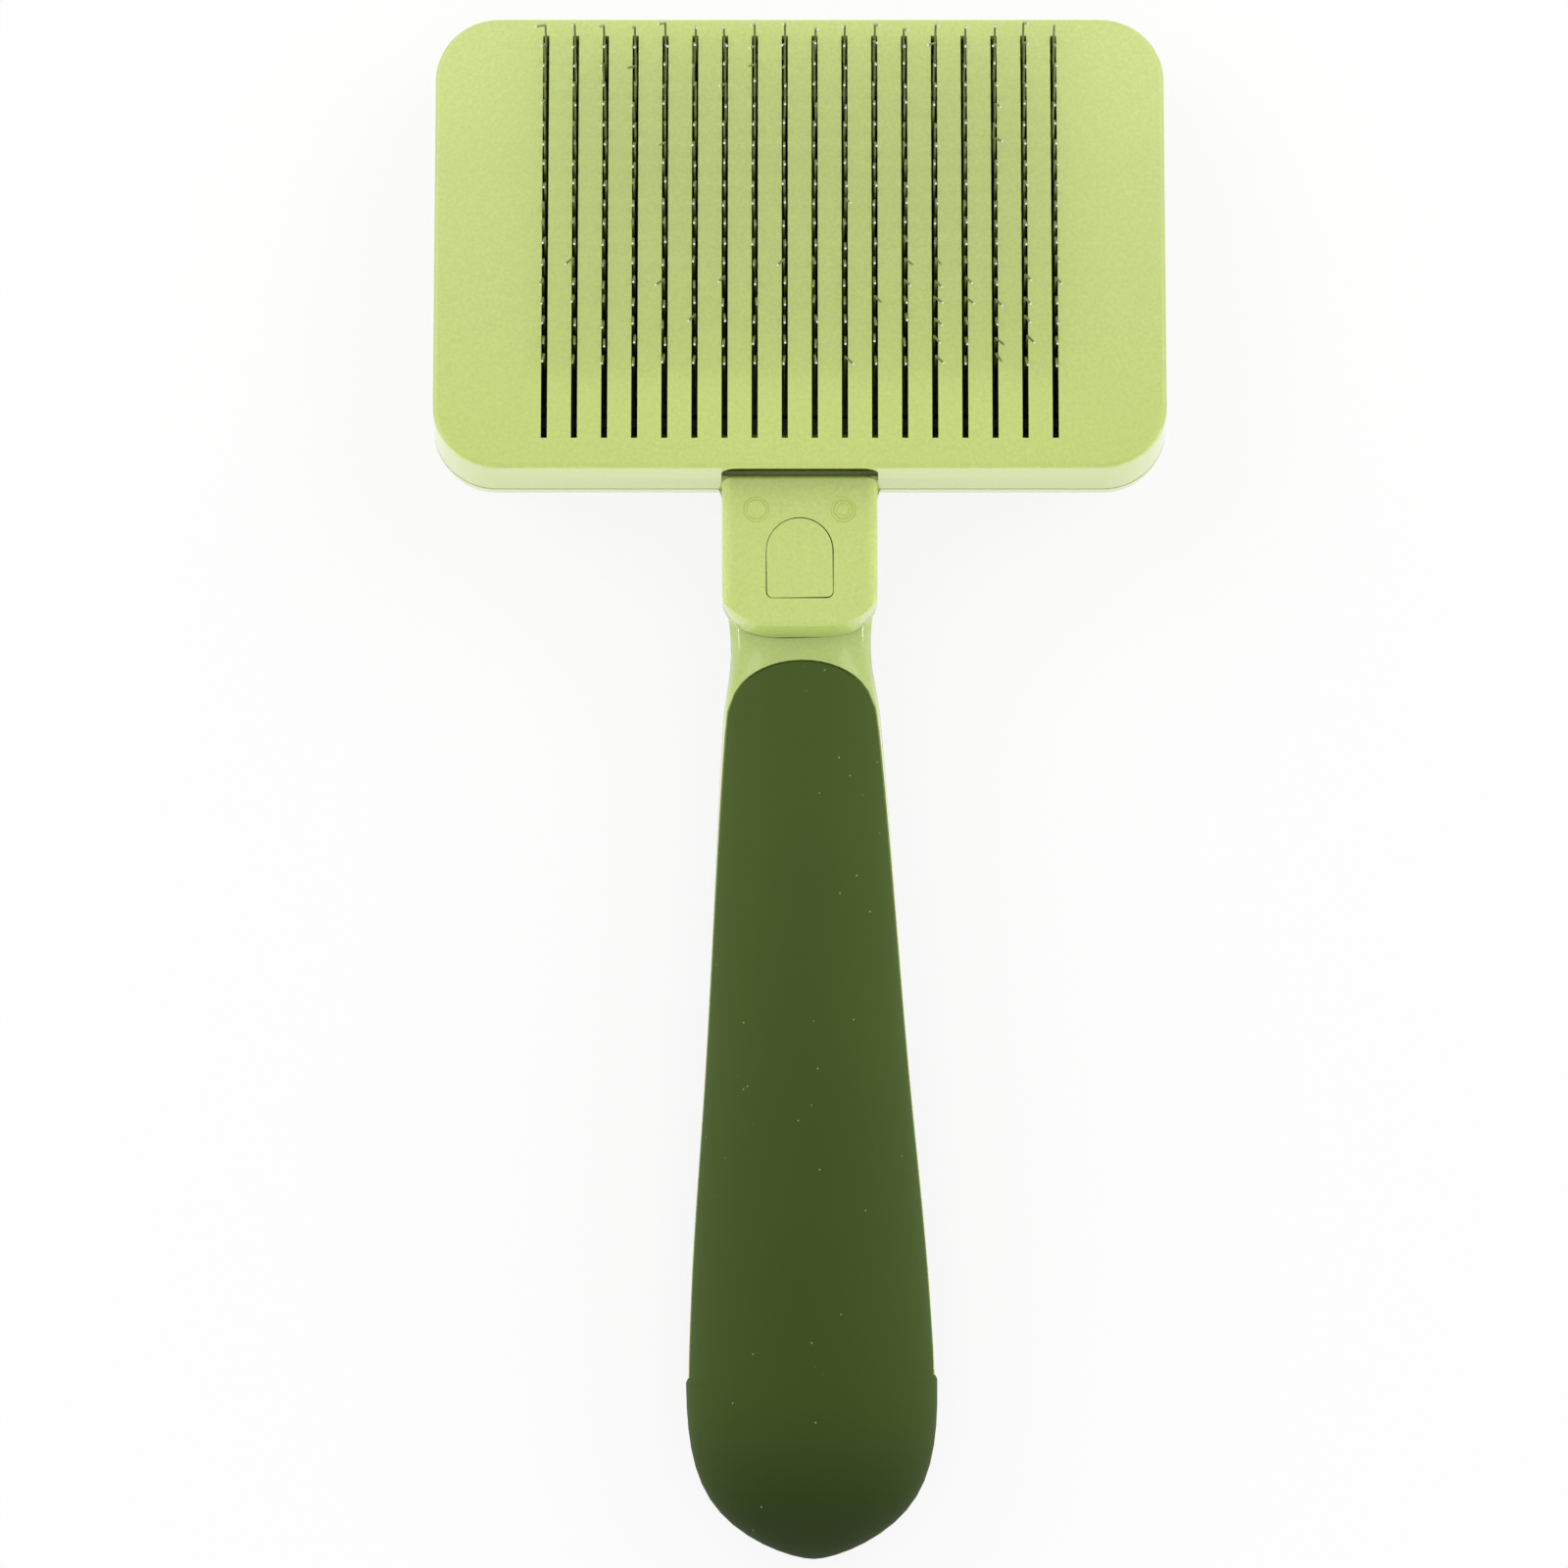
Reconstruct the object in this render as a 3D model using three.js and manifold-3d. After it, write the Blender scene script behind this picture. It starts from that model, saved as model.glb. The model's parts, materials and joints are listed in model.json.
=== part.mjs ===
// A slicker brush whose pins draw back into the head, lying on its back with the pins up.
// Millimetres, +Z up. X runs across the head, and +Y runs from the butt of the handle to the head.
// The origin lies on the surface under the brush, below the middle of its outline.
// At rest the pins are drawn back, with only knees and tips proud of the slotted face.
// A thumb button in the back slides the pin carrier forward against four springs.

import * as THREE from "three";
import { mergeGeometries, mergeVertices } from "three/addons/utils/BufferGeometryUtils.js";
import Module from "manifold-3d";

const wasm = await Module();
wasm.setup();

const radians = THREE.MathUtils.degToRad;

// ---------------------------------------------------------------- driving dimensions

// Fits.
const clearance = 0.3; // between pieces that seat on each other
const slidingGap = 0.4; // round what slides or passes through
const rootDepth = 0.5; // how far a post or boss runs into the wall it stands on
const past = 1; // how far a cutter runs past what it cuts

// Head. Its own frame has the origin in the middle of the face, +Z out of the face
// and +Y away from the handle.
const headWidth = 97.6;
const headLength = 62.2;
const headCorner = 8.5; // radius of the outline's corners
const faceEdge = 1.8; // radius round the face
const backEdge = 7; // radius round the back
const backRoomEdge = 2.8; // radius round the floor of the room in the back shell
const partingDepth = 10.2; // from the face to the joint of the two shells
const frontWall = 2;
const backWall = 2.8;
const wallDraft = 0.3; // what each side leans out by, from face to joint
const lipHeight = 1.8; // locating lip of the back shell inside the front shell
const lipThickness = 0.8;

// Slots in the face.
const slotCount = 18;
const slotWidth = 0.8;
const sideMargin = 14.8; // from the edge of the head to the middle of the first slot
const farMargin = 2.6; // from the far edge of the face to the slots
const nearMargin = 3.85; // from the edge by the neck to the slots

// Pins, bent at the knee: the shaft leans away from the handle and the tip leans back to it.
const pinRows = 18;
const pinRadius = 0.2;
const pinSides = 3;
const kneePastSlot = 0.6; // how far the last row's knees stand past the slots' far end
const freeSlot = 11.1; // length of slot left open below the first row's knees
const firstShaftLean = 22; // degrees, at the row next to the handle
const lastShaftLean = 34;
const firstTipLean = 33;
const lastTipLean = 21;
const firstKneeHeight = 0.7; // above the face, drawn back
const lastKneeHeight = 3;
const tipLength = 3.5;
const pinRootDepth = 0.8; // how deep a pin stands in its pad

// Carrier and pads.
const travel = 7; // how far the thumb pushes the pins out
const forwardGap = 0.6; // between pads and face when the pins are out
const bankCount = 3;
const padThickness = 1.7;
const padMargin = 1.2; // rubber beyond the outermost pins
const trayWall = 1.2;
const trayFloor = 2.2;

// Springs on their guide posts.
const postRadius = 1.7;
const springRadius = 2.7; // middle of the wire
const springWire = 0.8;
const springTurns = 6;
const springFromEnd = 8; // from each end of the pads' recess to the posts
const cupWall = 0.7;
const cupFloor = 1.4;
const restGap = 0.5; // between the cups and the back shell

// Thumb button.
const buttonWidth = 30;
const buttonLength = 18;
const buttonCorner = 8;
const buttonFromEdge = 17.5; // from the head's edge by the neck to the button's middle
const buttonProud = 7.2; // at its middle, drawn back
const buttonSlope = 12; // degrees between the thumb face and the back
const buttonWall = 2;
const flangeThickness = 2.1;
const flangeReach = 2; // how far the flange reaches past the opening
const thumbPadThickness = 1.5;
const thumbPadInset = 0.9;
const thumbRibs = 4;
const thumbRibHeight = 0.6;

// Screws: four hold the shells, two hold the button on the carrier.
const screwRadius = 1.1;
const screwHeadRadius = 2.3;
const screwHeadHeight = 1.3;
const bossRadius = 3.1;
const bossInset = 7.2; // from the head's sides to a boss
const screwRecess = 1; // from the outer face of the back to the head of a shell screw
const pilotPast = 1; // from the end of a screw to the end of its hole
const shellScrewLength = 11;
const buttonScrewLength = 7;
const buttonScrewSpread = 9; // from the button's middle, across
const driveWidth = 0.6;
const driveDepth = 0.6;

// Neck sleeve of the back shell, which holds the tang of the handle.
const sleeveWidth = 20.8;
const sleeveThickness = 13;
const sleeveLength = 21.65;
const sleeveWall = 2.1;
const sleeveFrontWall = 3.4;
const sleeveCornerWidth = 7.7; // of the elliptical corners at its lower end
const sleeveCornerHeight = 4.8;
const sleeveEdge = 1.5; // radius along its sides
const sleeveSlope = 1.7; // how far the front of its lower end leans back
const sleeveSlopeDepth = 3.2;
const blockGap = 0.6; // between the proud front of the sleeve and the wall of the head
const blockProud = 1.2; // of that front, over the part that runs into the head
const blockCorner = 1.6; // at its upper end
const markRadius = 1.6; // of the two ejector marks in its front face
const markDepth = 0.15;
const markSpread = 5.8;
const markFromEnd = 17.3;
const sleeveRecess = 5; // of its front face below the face of the head
const neckFlare = 3.6; // fillet between the sleeve's sides and the back shell
const tangLength = 18.8;
const tabWidth = 8.85;
const tabHeight = 10.6;
const tabCorner = 0.8;
const tabFromEnd = 5.55; // from the sleeve's lower end
const tabGroove = 0.2;

// Handle. Places are down from the sleeve's lower end, and depths are front to back.
const handleBend = 16.2; // degrees between handle and head
const handleLean = 0.85; // degrees to one side, within the play of the tang
const rootPlace = -7; // inside the sleeve's lower corners
const rootHalfWidth = 10.3;
const waistPlace = 2.3;
const waistHalfWidth = 9.5;
const waistHalfDepth = 4.4;
const waistDrop = 0.8; // of the section's middle towards the back
const throatPlace = 11.35;
const throatHalfWidth = 10.6;
const throatHalfDepth = 6;
const throatDrop = 0.5;
const middlePlace = 56.35;
const middleHalfWidth = 13.6;
const middleHalfDepth = 9.7;
const lowPlace = 83.35;
const lowHalfWidth = 15.8;
const swellPlace = 101.35;
const swellHalfWidth = 16.8;
const swellHalfDepth = 10.5;
const handleEnd = 125.25; // tip of the butt
const buttRound = 22.7; // length of the rounded butt
const buttPower = 2.2; // superellipse of the butt's outline
const sectionPower = 2.4; // superellipse of the handle's cross-section

// Grip moulded on the handle.
const rubberThickness = 1.9;
const rimHeight = 3.2; // of the core's rim between the two faces of the grip
const rimProud = 0.35; // of the rim outside the grip
const rimEnd = 99.85; // where the rubber closes round the butt
const buttProud = 0.2; // of the rubber outside the rim's line there
const archTop = 2.95; // where the grip starts, on the middle line
const archHeight = 6.9;
const archHalfWidth = 10.4;

// Facets.
const cornerSteps = 5;
const edgeSteps = 3;
const roundSides = 16;
const screwSides = 12;
const handleSides = 22;
const handleRings = 11;
const buttRings = 5;
const springSteps = 8;
const springSides = 5;

// ---------------------------------------------------------------- derived places

const halfWidth = headWidth / 2;
const halfLength = headLength / 2;

const slotPitch = (headWidth - 2 * sideMargin) / (slotCount - 1);
const slotFar = halfLength - farMargin;
const slotNear = -halfLength + nearMargin;

const padTop = -(frontWall + forwardGap + travel);
const trayFloorTop = padTop - padThickness - clearance;
const trayFloorBack = trayFloorTop - trayFloor;
const trayRim = padTop - clearance;
const flangeFront = trayFloorBack - clearance;
const flangeBack = flangeFront - flangeThickness;
const backFloor = flangeBack - clearance; // inner face of the back shell
const headBack = backFloor - frontWall; // outer face of the back shell

const padHalfWidth = ((slotCount - 1) * slotPitch) / 2 + padMargin;
const firstPin = pinAt(0);
const lastPin = pinAt(pinRows - 1);
const padNear = firstPin.root - padMargin;
const padFar = lastPin.root + padMargin;
const padMiddle = (padNear + padFar) / 2;
const recessHalfWidth = padHalfWidth + clearance;
const recessHalfLength = (padFar - padNear) / 2 + clearance;
const springSpread = recessHalfLength - springFromEnd;

const cupBore = springRadius + springWire / 2 + clearance;
const cupRadius = cupBore + cupWall;
const cupBottom = backFloor + restGap;
const cupSeat = cupBottom + cupFloor;
const springX = recessHalfWidth + cupBore + cupWall;

const buttonY = -halfLength + buttonFromEdge;
const bossX = halfWidth - bossInset;
const bossY = halfLength - bossInset;
const screwSeat = headBack + screwRecess + screwHeadHeight + clearance; // floor of a counterbore

// ---------------------------------------------------------------- geometry helpers

// A closed geometry as a solid that can be joined and cut.
function solidOf(geometry) {
  const bare = geometry.clone();
  bare.deleteAttribute("normal");
  bare.deleteAttribute("uv");
  const merged = mergeVertices(bare, 1e-4);
  return new wasm.Manifold(
    new wasm.Mesh({
      numProp: 3,
      vertProperties: merged.attributes.position.array,
      triVerts: new Uint32Array(merged.index.array),
    }),
  );
}

// A solid as geometry with flat facets.
function geometryOf(solid) {
  const mesh = solid.getMesh();
  const indexed = new THREE.BufferGeometry();
  indexed.setAttribute("position", new THREE.BufferAttribute(mesh.vertProperties, mesh.numProp));
  indexed.setIndex(new THREE.BufferAttribute(mesh.triVerts, 1));
  const geometry = indexed.toNonIndexed();
  geometry.computeVertexNormals();
  return geometry;
}

function join(first, ...others) {
  return geometryOf(others.reduce((sum, other) => sum.add(solidOf(other)), solidOf(first)));
}

function cut(first, ...others) {
  return geometryOf(others.reduce((rest, other) => rest.subtract(solidOf(other)), solidOf(first)));
}

function common(first, second) {
  return geometryOf(solidOf(first).intersect(solidOf(second)));
}

// A closed skin over a row of rings with the same number of points, with flat ends.
// The rings run along +Z or +Y, and turn anticlockwise seen from the end they run to.
function loft(rings) {
  const sides = rings[0].length;
  const points = rings.flat();
  const faces = [];
  for (let ring = 0; ring < rings.length - 1; ring++) {
    for (let side = 0; side < sides; side++) {
      const a = ring * sides + side;
      const b = ring * sides + ((side + 1) % sides);
      faces.push(a, b, b + sides, a, b + sides, a + sides);
    }
  }
  const last = (rings.length - 1) * sides;
  for (let side = 1; side < sides - 1; side++) {
    faces.push(0, side + 1, side);
    faces.push(last, last + side, last + side + 1);
  }
  return new THREE.BufferGeometry().setFromPoints(points).setIndex(faces);
}

// Points round a rectangle with rounded corners at height z.
function roundedRing(halfX, halfY, radius, z, middleY = 0) {
  const corner = Math.min(radius, 0.98 * halfX, 0.98 * halfY);
  const ring = [];
  for (let quarter = 0; quarter < 4; quarter++) {
    const signX = quarter === 0 || quarter === 3 ? 1 : -1;
    const signY = quarter < 2 ? 1 : -1;
    for (let step = 0; step <= cornerSteps; step++) {
      const angle = ((quarter + step / cornerSteps) * Math.PI) / 2;
      const x = signX * (halfX - corner) + corner * Math.cos(angle);
      const y = signY * (halfY - corner) + corner * Math.sin(angle);
      ring.push(new THREE.Vector3(x, y + middleY, z));
    }
  }
  return ring;
}

// An upright block with rounded corners, from height low to height high.
function roundedBlock(halfX, halfY, radius, low, high, middleY = 0) {
  return loft([
    roundedRing(halfX, halfY, radius, low, middleY),
    roundedRing(halfX, halfY, radius, high, middleY),
  ]);
}

function box(lowX, highX, lowY, highY, lowZ, highZ) {
  const geometry = new THREE.BoxGeometry(highX - lowX, highY - lowY, highZ - lowZ);
  return geometry.translate((lowX + highX) / 2, (lowY + highY) / 2, (lowZ + highZ) / 2);
}

function upright(radius, low, high, x, y, sides = roundSides) {
  const geometry = new THREE.CylinderGeometry(radius, radius, high - low, sides);
  return geometry.rotateX(Math.PI / 2).translate(x, y, (low + high) / 2);
}

// The same point mirrored to the four corners of a rectangle round middleY.
function fourCorners(x, y, middleY = 0) {
  return [
    new THREE.Vector2(-x, middleY + y),
    new THREE.Vector2(x, middleY + y),
    new THREE.Vector2(-x, middleY - y),
    new THREE.Vector2(x, middleY - y),
  ];
}

// ---------------------------------------------------------------- head shells

// Outline of the head at a depth, inset from the wall's outer face.
function headRing(z, inset) {
  const depth = Math.min(-z, partingDepth);
  const draft = (wallDraft * depth) / partingDepth;
  return roundedRing(halfWidth + draft - inset, halfLength + draft - inset, headCorner - inset, z);
}

// Rings round a rounded edge that starts flat at height z and turns down (or up) by the radius.
function edgeRings(z, radius, direction) {
  const rings = [];
  for (let step = 0; step <= edgeSteps; step++) {
    const angle = ((step / edgeSteps) * Math.PI) / 2;
    rings.push(headRing(z + direction * radius * (1 - Math.cos(angle)), radius * (1 - Math.sin(angle))));
  }
  return rings;
}

function frontOuter() {
  const rings = edgeRings(0, faceEdge, -1).reverse();
  return loft([headRing(-partingDepth, 0), ...rings]);
}

function backOuter() {
  return loft([...edgeRings(headBack, backEdge, 1), headRing(-partingDepth - clearance, 0)]);
}

// The room inside the front shell, down past the joint.
function frontRoom(low) {
  const corner = headCorner - frontWall;
  return roundedBlock(halfWidth - frontWall, halfLength - frontWall, corner, low, -frontWall);
}

function backRoom(high) {
  const ring = (z, inset) => {
    const corner = headCorner - backWall - inset;
    return roundedRing(halfWidth - backWall - inset, halfLength - backWall - inset, corner, z);
  };
  const rings = [];
  for (let step = 0; step <= edgeSteps; step++) {
    const angle = ((step / edgeSteps) * Math.PI) / 2;
    const inset = backRoomEdge * (1 - Math.sin(angle));
    rings.push(ring(backFloor + backRoomEdge * (1 - Math.cos(angle)), inset));
  }
  return loft([...rings, ring(high, 0)]);
}

function slotCutters() {
  const cutters = [];
  for (let slot = 0; slot < slotCount; slot++) {
    const x = slotX(slot);
    cutters.push(box(x - slotWidth / 2, x + slotWidth / 2, slotNear, slotFar, -frontWall - past, past));
  }
  return mergeGeometries(cutters);
}

function slotX(slot) {
  return (slot - (slotCount - 1) / 2) * slotPitch;
}

function frontShell() {
  const room = frontRoom(-partingDepth - past);
  const hollow = cut(frontOuter(), room, slotCutters(), sleeveBody(slidingGap));
  const root = -frontWall + rootDepth;
  const posts = fourCorners(springX, springSpread, padMiddle).map((at) =>
    upright(postRadius, cupBottom + clearance, root, at.x, at.y),
  );
  const corners = fourCorners(bossX, bossY);
  const bosses = corners.map((at) => upright(bossRadius, -partingDepth, root, at.x, at.y));
  const pilotTop = screwSeat + shellScrewLength + pilotPast;
  const pilots = corners.map((at) =>
    upright(screwRadius + clearance, -partingDepth - past, pilotTop, at.x, at.y, screwSides),
  );
  return cut(join(hollow, ...posts, ...bosses), ...pilots);
}

// The lip that locates the shells on each other.
function locatingLip() {
  const outer = frontWall + clearance;
  const inner = outer + lipThickness;
  const low = -partingDepth - clearance - rootDepth;
  const high = -partingDepth + lipHeight;
  const corner = headCorner - outer;
  return cut(
    roundedBlock(halfWidth - outer, halfLength - outer, corner, low, high),
    roundedBlock(halfWidth - inner, halfLength - inner, corner - lipThickness, low - past, high + past),
  );
}

function backShell() {
  const corners = fourCorners(bossX, bossY);
  const bossTop = -partingDepth - clearance;
  const bosses = corners.map((at) => upright(bossRadius, backFloor - rootDepth, bossTop, at.x, at.y));
  const holes = corners.map((at) =>
    upright(screwRadius + clearance, headBack - past, bossTop + past, at.x, at.y, screwSides),
  );
  const bores = corners.map((at) =>
    upright(screwHeadRadius + clearance, headBack - past, screwSeat, at.x, at.y),
  );
  const opening = roundedBlock(
    buttonWidth / 2 + slidingGap,
    buttonLength / 2 + slidingGap,
    buttonCorner + slidingGap,
    headBack - past,
    backFloor + past,
    buttonY,
  );
  const neck = cut(sleeveBody(0), frontRoom(backFloor), aboveBlock());
  const pan = cut(backOuter(), backRoom(0));
  const moulding = join(pan, neck, neckFillets(), locatingLip(), ...bosses);
  return cut(moulding, socket(), tabWindow(), ...ejectorMarks(), ...holes, ...bores, opening);
}

// ---------------------------------------------------------------- neck sleeve

// The sleeve's frame in the head's: its origin is on the handle's axis at the sleeve's lower end,
// +Y runs up the handle into the head and +Z out of its front face.
function sleeveFrame() {
  const turn = new THREE.Matrix4().makeRotationX(radians(handleBend));
  const end = new THREE.Vector3(0, -sleeveLength, -sleeveThickness / 2).applyMatrix4(turn);
  return new THREE.Matrix4()
    .makeTranslation(0, -halfLength + end.y, -sleeveRecess + end.z)
    .multiply(turn);
}

// The handle leans about the middle of its tang.
function handleFrame() {
  const pivot = new THREE.Vector3(0, tangLength / 2, 0);
  return sleeveFrame()
    .multiply(new THREE.Matrix4().makeTranslation(pivot.x, pivot.y, pivot.z))
    .multiply(new THREE.Matrix4().makeRotationZ(radians(handleLean)))
    .multiply(new THREE.Matrix4().makeTranslation(-pivot.x, -pivot.y, -pivot.z));
}

// Plan outline of the sleeve with elliptical lower corners, from its lower end up past its top.
function sleevePoints(half, grow, low) {
  const cornerX = sleeveCornerWidth + grow;
  const cornerY = sleeveCornerHeight + grow;
  const top = sleeveLength + sleeveThickness;
  const points = [new THREE.Vector2(half, top), new THREE.Vector2(-half, top)];
  for (let step = 0; step <= 2 * cornerSteps + 1; step++) {
    const right = step > cornerSteps;
    const turn = (right ? step - 1 : step) / cornerSteps;
    const angle = Math.PI * (1 + turn / 2);
    const x = (right ? half - cornerX : cornerX - half) + cornerX * Math.cos(angle);
    points.push(new THREE.Vector2(x, low + cornerY + cornerY * Math.sin(angle)));
  }
  return points;
}

// The sleeve's outside in the head's frame, grown by a margin and running on into the head.
// Its sides are rounded front and back, and the front of its lower end slopes.
function sleeveBody(grow) {
  const half = sleeveWidth / 2 + grow;
  const front = sleeveThickness / 2 + grow;
  const ring = (z, inset) => {
    const rise = Math.max(0, z - front + sleeveSlopeDepth) / sleeveSlopeDepth;
    const low = sleeveSlope * rise - grow + (z < 0 ? inset : 0);
    const outline = sleevePoints(half - inset, grow, low);
    return outline.map((point) => new THREE.Vector3(point.x, point.y, z));
  };
  const rings = [];
  for (let step = 0; step <= edgeSteps; step++) {
    const angle = ((step / edgeSteps) * Math.PI) / 2;
    rings.push(ring(-front + sleeveEdge * (1 - Math.sin(angle)), sleeveEdge * (1 - Math.cos(angle))));
  }
  rings.reverse();
  rings.push(ring(front - sleeveSlopeDepth, 0));
  for (let step = 0; step <= edgeSteps; step++) {
    const angle = ((step / edgeSteps) * Math.PI) / 2;
    rings.push(ring(front - sleeveEdge * (1 - Math.sin(angle)), sleeveEdge * (1 - Math.cos(angle))));
  }
  const reach = headLength + sleeveLength;
  const limit = box(-reach, reach, -reach, -halfLength + backEdge, -reach, reach);
  return common(loft(rings).applyMatrix4(sleeveFrame()), limit);
}

// What is taken off the sleeve where it enters the head, so that its front stands proud below it
// and ends in two round corners just short of the wall.
function aboveBlock() {
  const front = sleeveThickness / 2;
  const end = sleeveLength - blockGap;
  const reach = headWidth;
  const above = box(-reach, reach, end - blockCorner, reach, front - blockProud, front + past);
  const block = roundedBlock(sleeveWidth / 2, end, blockCorner, front - 2 * blockProud, front + 2 * past);
  return cut(above, block).applyMatrix4(sleeveFrame());
}

// Round marks that the ejector pins of the mould leave in the sleeve's front face.
function ejectorMarks() {
  const front = sleeveThickness / 2;
  return [-markSpread, markSpread].map((x) =>
    upright(markRadius, front - markDepth, front + past, x, markFromEnd).applyMatrix4(sleeveFrame()),
  );
}

// Concave fillets that spread the back shell's wall into the sides of the sleeve.
function neckFillets() {
  const half = sleeveWidth / 2;
  const wall = sleeveLength + sleeveThickness / 2;
  const start = sleeveLength - neckFlare;
  const shape = new THREE.Shape();
  shape.moveTo(0, start);
  shape.lineTo(half, start);
  shape.absarc(half + neckFlare, start, neckFlare, Math.PI, Math.PI / 2, true);
  shape.lineTo(half + neckFlare, wall);
  shape.lineTo(-half - neckFlare, wall);
  shape.absarc(-half - neckFlare, start, neckFlare, Math.PI / 2, 0, true);
  shape.closePath();
  const options = { depth: sleeveThickness, bevelEnabled: false, curveSegments: cornerSteps };
  const fillets = new THREE.ExtrudeGeometry(shape, options);
  fillets.translate(0, 0, -sleeveThickness / 2).applyMatrix4(sleeveFrame());
  const top = -partingDepth - clearance;
  const low = headBack + backEdge / 2;
  const wallRoot = -halfLength + rootDepth;
  return common(fillets, box(-headWidth, headWidth, -headLength, wallRoot, low, top));
}

// The room inside the sleeve from y low to y high, shrunk by a margin at its sides.
function sleeveRoom(low, high, shrink) {
  const halfX = sleeveWidth / 2 - sleeveWall - shrink;
  const back = -sleeveThickness / 2 + sleeveWall + shrink;
  return box(-halfX, halfX, low, high, back, sleeveThickness / 2 - sleeveFrontWall - shrink);
}

function socket() {
  return sleeveRoom(-sleeveCornerHeight, tangLength + clearance, 0).applyMatrix4(sleeveFrame());
}

// Outline with a round top, for the tab and, grown, for its window.
function tabOutline(grow) {
  const half = tabWidth / 2 + grow;
  const low = tabFromEnd - grow;
  const shoulder = tabFromEnd + tabHeight - tabWidth / 2;
  const corner = tabCorner + grow;
  const shape = new THREE.Shape();
  shape.moveTo(half, shoulder);
  shape.absarc(0, shoulder, half, 0, Math.PI, false);
  shape.absarc(-half + corner, low + corner, corner, Math.PI, 1.5 * Math.PI, false);
  shape.absarc(half - corner, low + corner, corner, 1.5 * Math.PI, 2 * Math.PI, false);
  shape.closePath();
  return shape;
}

function tabBlock(grow, low, high) {
  const options = { depth: high - low, bevelEnabled: false, curveSegments: cornerSteps };
  return new THREE.ExtrudeGeometry(tabOutline(grow), options).translate(0, 0, low);
}

function tabWindow() {
  return tabBlock(tabGroove, 0, sleeveThickness).applyMatrix4(sleeveFrame());
}

// ---------------------------------------------------------------- pins, carrier and springs

// One row's pin in the plane of its slot: where it leaves the pad, its knee and its tip,
// each as a place along the head and a height over the face, drawn back.
function pinAt(row) {
  const share = row / (pinRows - 1);
  const mix = (first, last) => first + (last - first) * share;
  const knee = mix(slotNear + freeSlot, slotFar + kneePastSlot);
  const kneeHeight = mix(firstKneeHeight, lastKneeHeight);
  const shaftLean = radians(mix(firstShaftLean, lastShaftLean));
  const tipLean = radians(mix(firstTipLean, lastTipLean));
  return {
    shaftLean,
    tipLean,
    knee,
    kneeHeight,
    root: knee - (kneeHeight - padTop) * Math.tan(shaftLean),
    tip: knee - tipLength * Math.sin(tipLean),
    tipHeight: kneeHeight + tipLength * Math.cos(tipLean),
  };
}

// A ring of a pin's wire round a point, square to a direction that leans in the slot's plane.
function pinRing(x, y, z, lean) {
  const ring = [];
  for (let side = 0; side < pinSides; side++) {
    const angle = (2 * Math.PI * (side + 0.25)) / pinSides;
    const across = pinRadius * Math.cos(angle);
    const along = pinRadius * Math.sin(angle);
    ring.push(new THREE.Vector3(x + across, y + along * Math.cos(lean), z - along * Math.sin(lean)));
  }
  return ring;
}

function pin(x, row) {
  const at = pinAt(row);
  const rootY = at.root - pinRootDepth * Math.tan(at.shaftLean);
  return loft([
    pinRing(x, rootY, padTop - pinRootDepth, at.shaftLean),
    pinRing(x, at.knee, at.kneeHeight, at.shaftLean),
    pinRing(x, at.tip, at.tipHeight, -at.tipLean),
  ]);
}

// A strip of the rubber pad with its share of the rows of pins.
function pinBank(bank) {
  const first = Math.floor((bank * slotCount) / bankCount);
  const end = Math.floor(((bank + 1) * slotCount) / bankCount);
  const left = bank === 0 ? -padHalfWidth : slotX(first - 0.5) + clearance / 2;
  const right = bank === bankCount - 1 ? padHalfWidth : slotX(end - 0.5) - clearance / 2;
  const strip = box(left, right, padNear, padFar, padTop - padThickness, padTop);
  const pins = [];
  for (let slot = first; slot < end; slot++) {
    for (let row = 0; row < pinRows; row++) pins.push(pin(slotX(slot), row));
  }
  return join(strip, mergeGeometries(pins));
}

// The tray that carries the pads, with a spring cup on each side at each end.
function pinCarrier() {
  const outerX = recessHalfWidth + trayWall;
  const outerY = recessHalfLength + trayWall;
  const tray = roundedBlock(outerX, outerY, 2 * trayWall, trayFloorBack, trayRim, padMiddle);
  const posts = fourCorners(springX, springSpread, padMiddle);
  const cups = posts.map((at) => upright(cupRadius, cupBottom, trayRim, at.x, at.y));
  const recess = box(
    -recessHalfWidth,
    recessHalfWidth,
    padMiddle - recessHalfLength,
    padMiddle + recessHalfLength,
    trayFloorTop,
    0,
  );
  const bores = posts.map((at) => upright(cupBore, cupSeat, 0, at.x, at.y));
  const guides = posts.map((at) =>
    upright(postRadius + slidingGap, cupBottom - past, cupSeat + past, at.x, at.y),
  );
  const screwHoles = buttonScrewPlaces().flatMap((x) => [
    upright(screwRadius + clearance, trayFloorBack - past, 0, x, buttonY, screwSides),
    upright(screwHeadRadius + clearance, trayFloorTop - screwHeadHeight, 0, x, buttonY),
  ]);
  return cut(join(tray, ...cups), recess, ...bores, ...guides, ...screwHoles);
}

// A compression spring as one unbroken helix from the face down into its cup.
function springPath() {
  const top = -frontWall - clearance - springWire / 2;
  const bottom = cupSeat + clearance + springWire / 2;
  const points = [];
  for (let step = 0; step <= springTurns * springSteps; step++) {
    const angle = (2 * Math.PI * step) / springSteps;
    const z = bottom + ((top - bottom) * step) / (springTurns * springSteps);
    points.push(new THREE.Vector3(springRadius * Math.cos(angle), springRadius * Math.sin(angle), z));
  }
  return points;
}

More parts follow.
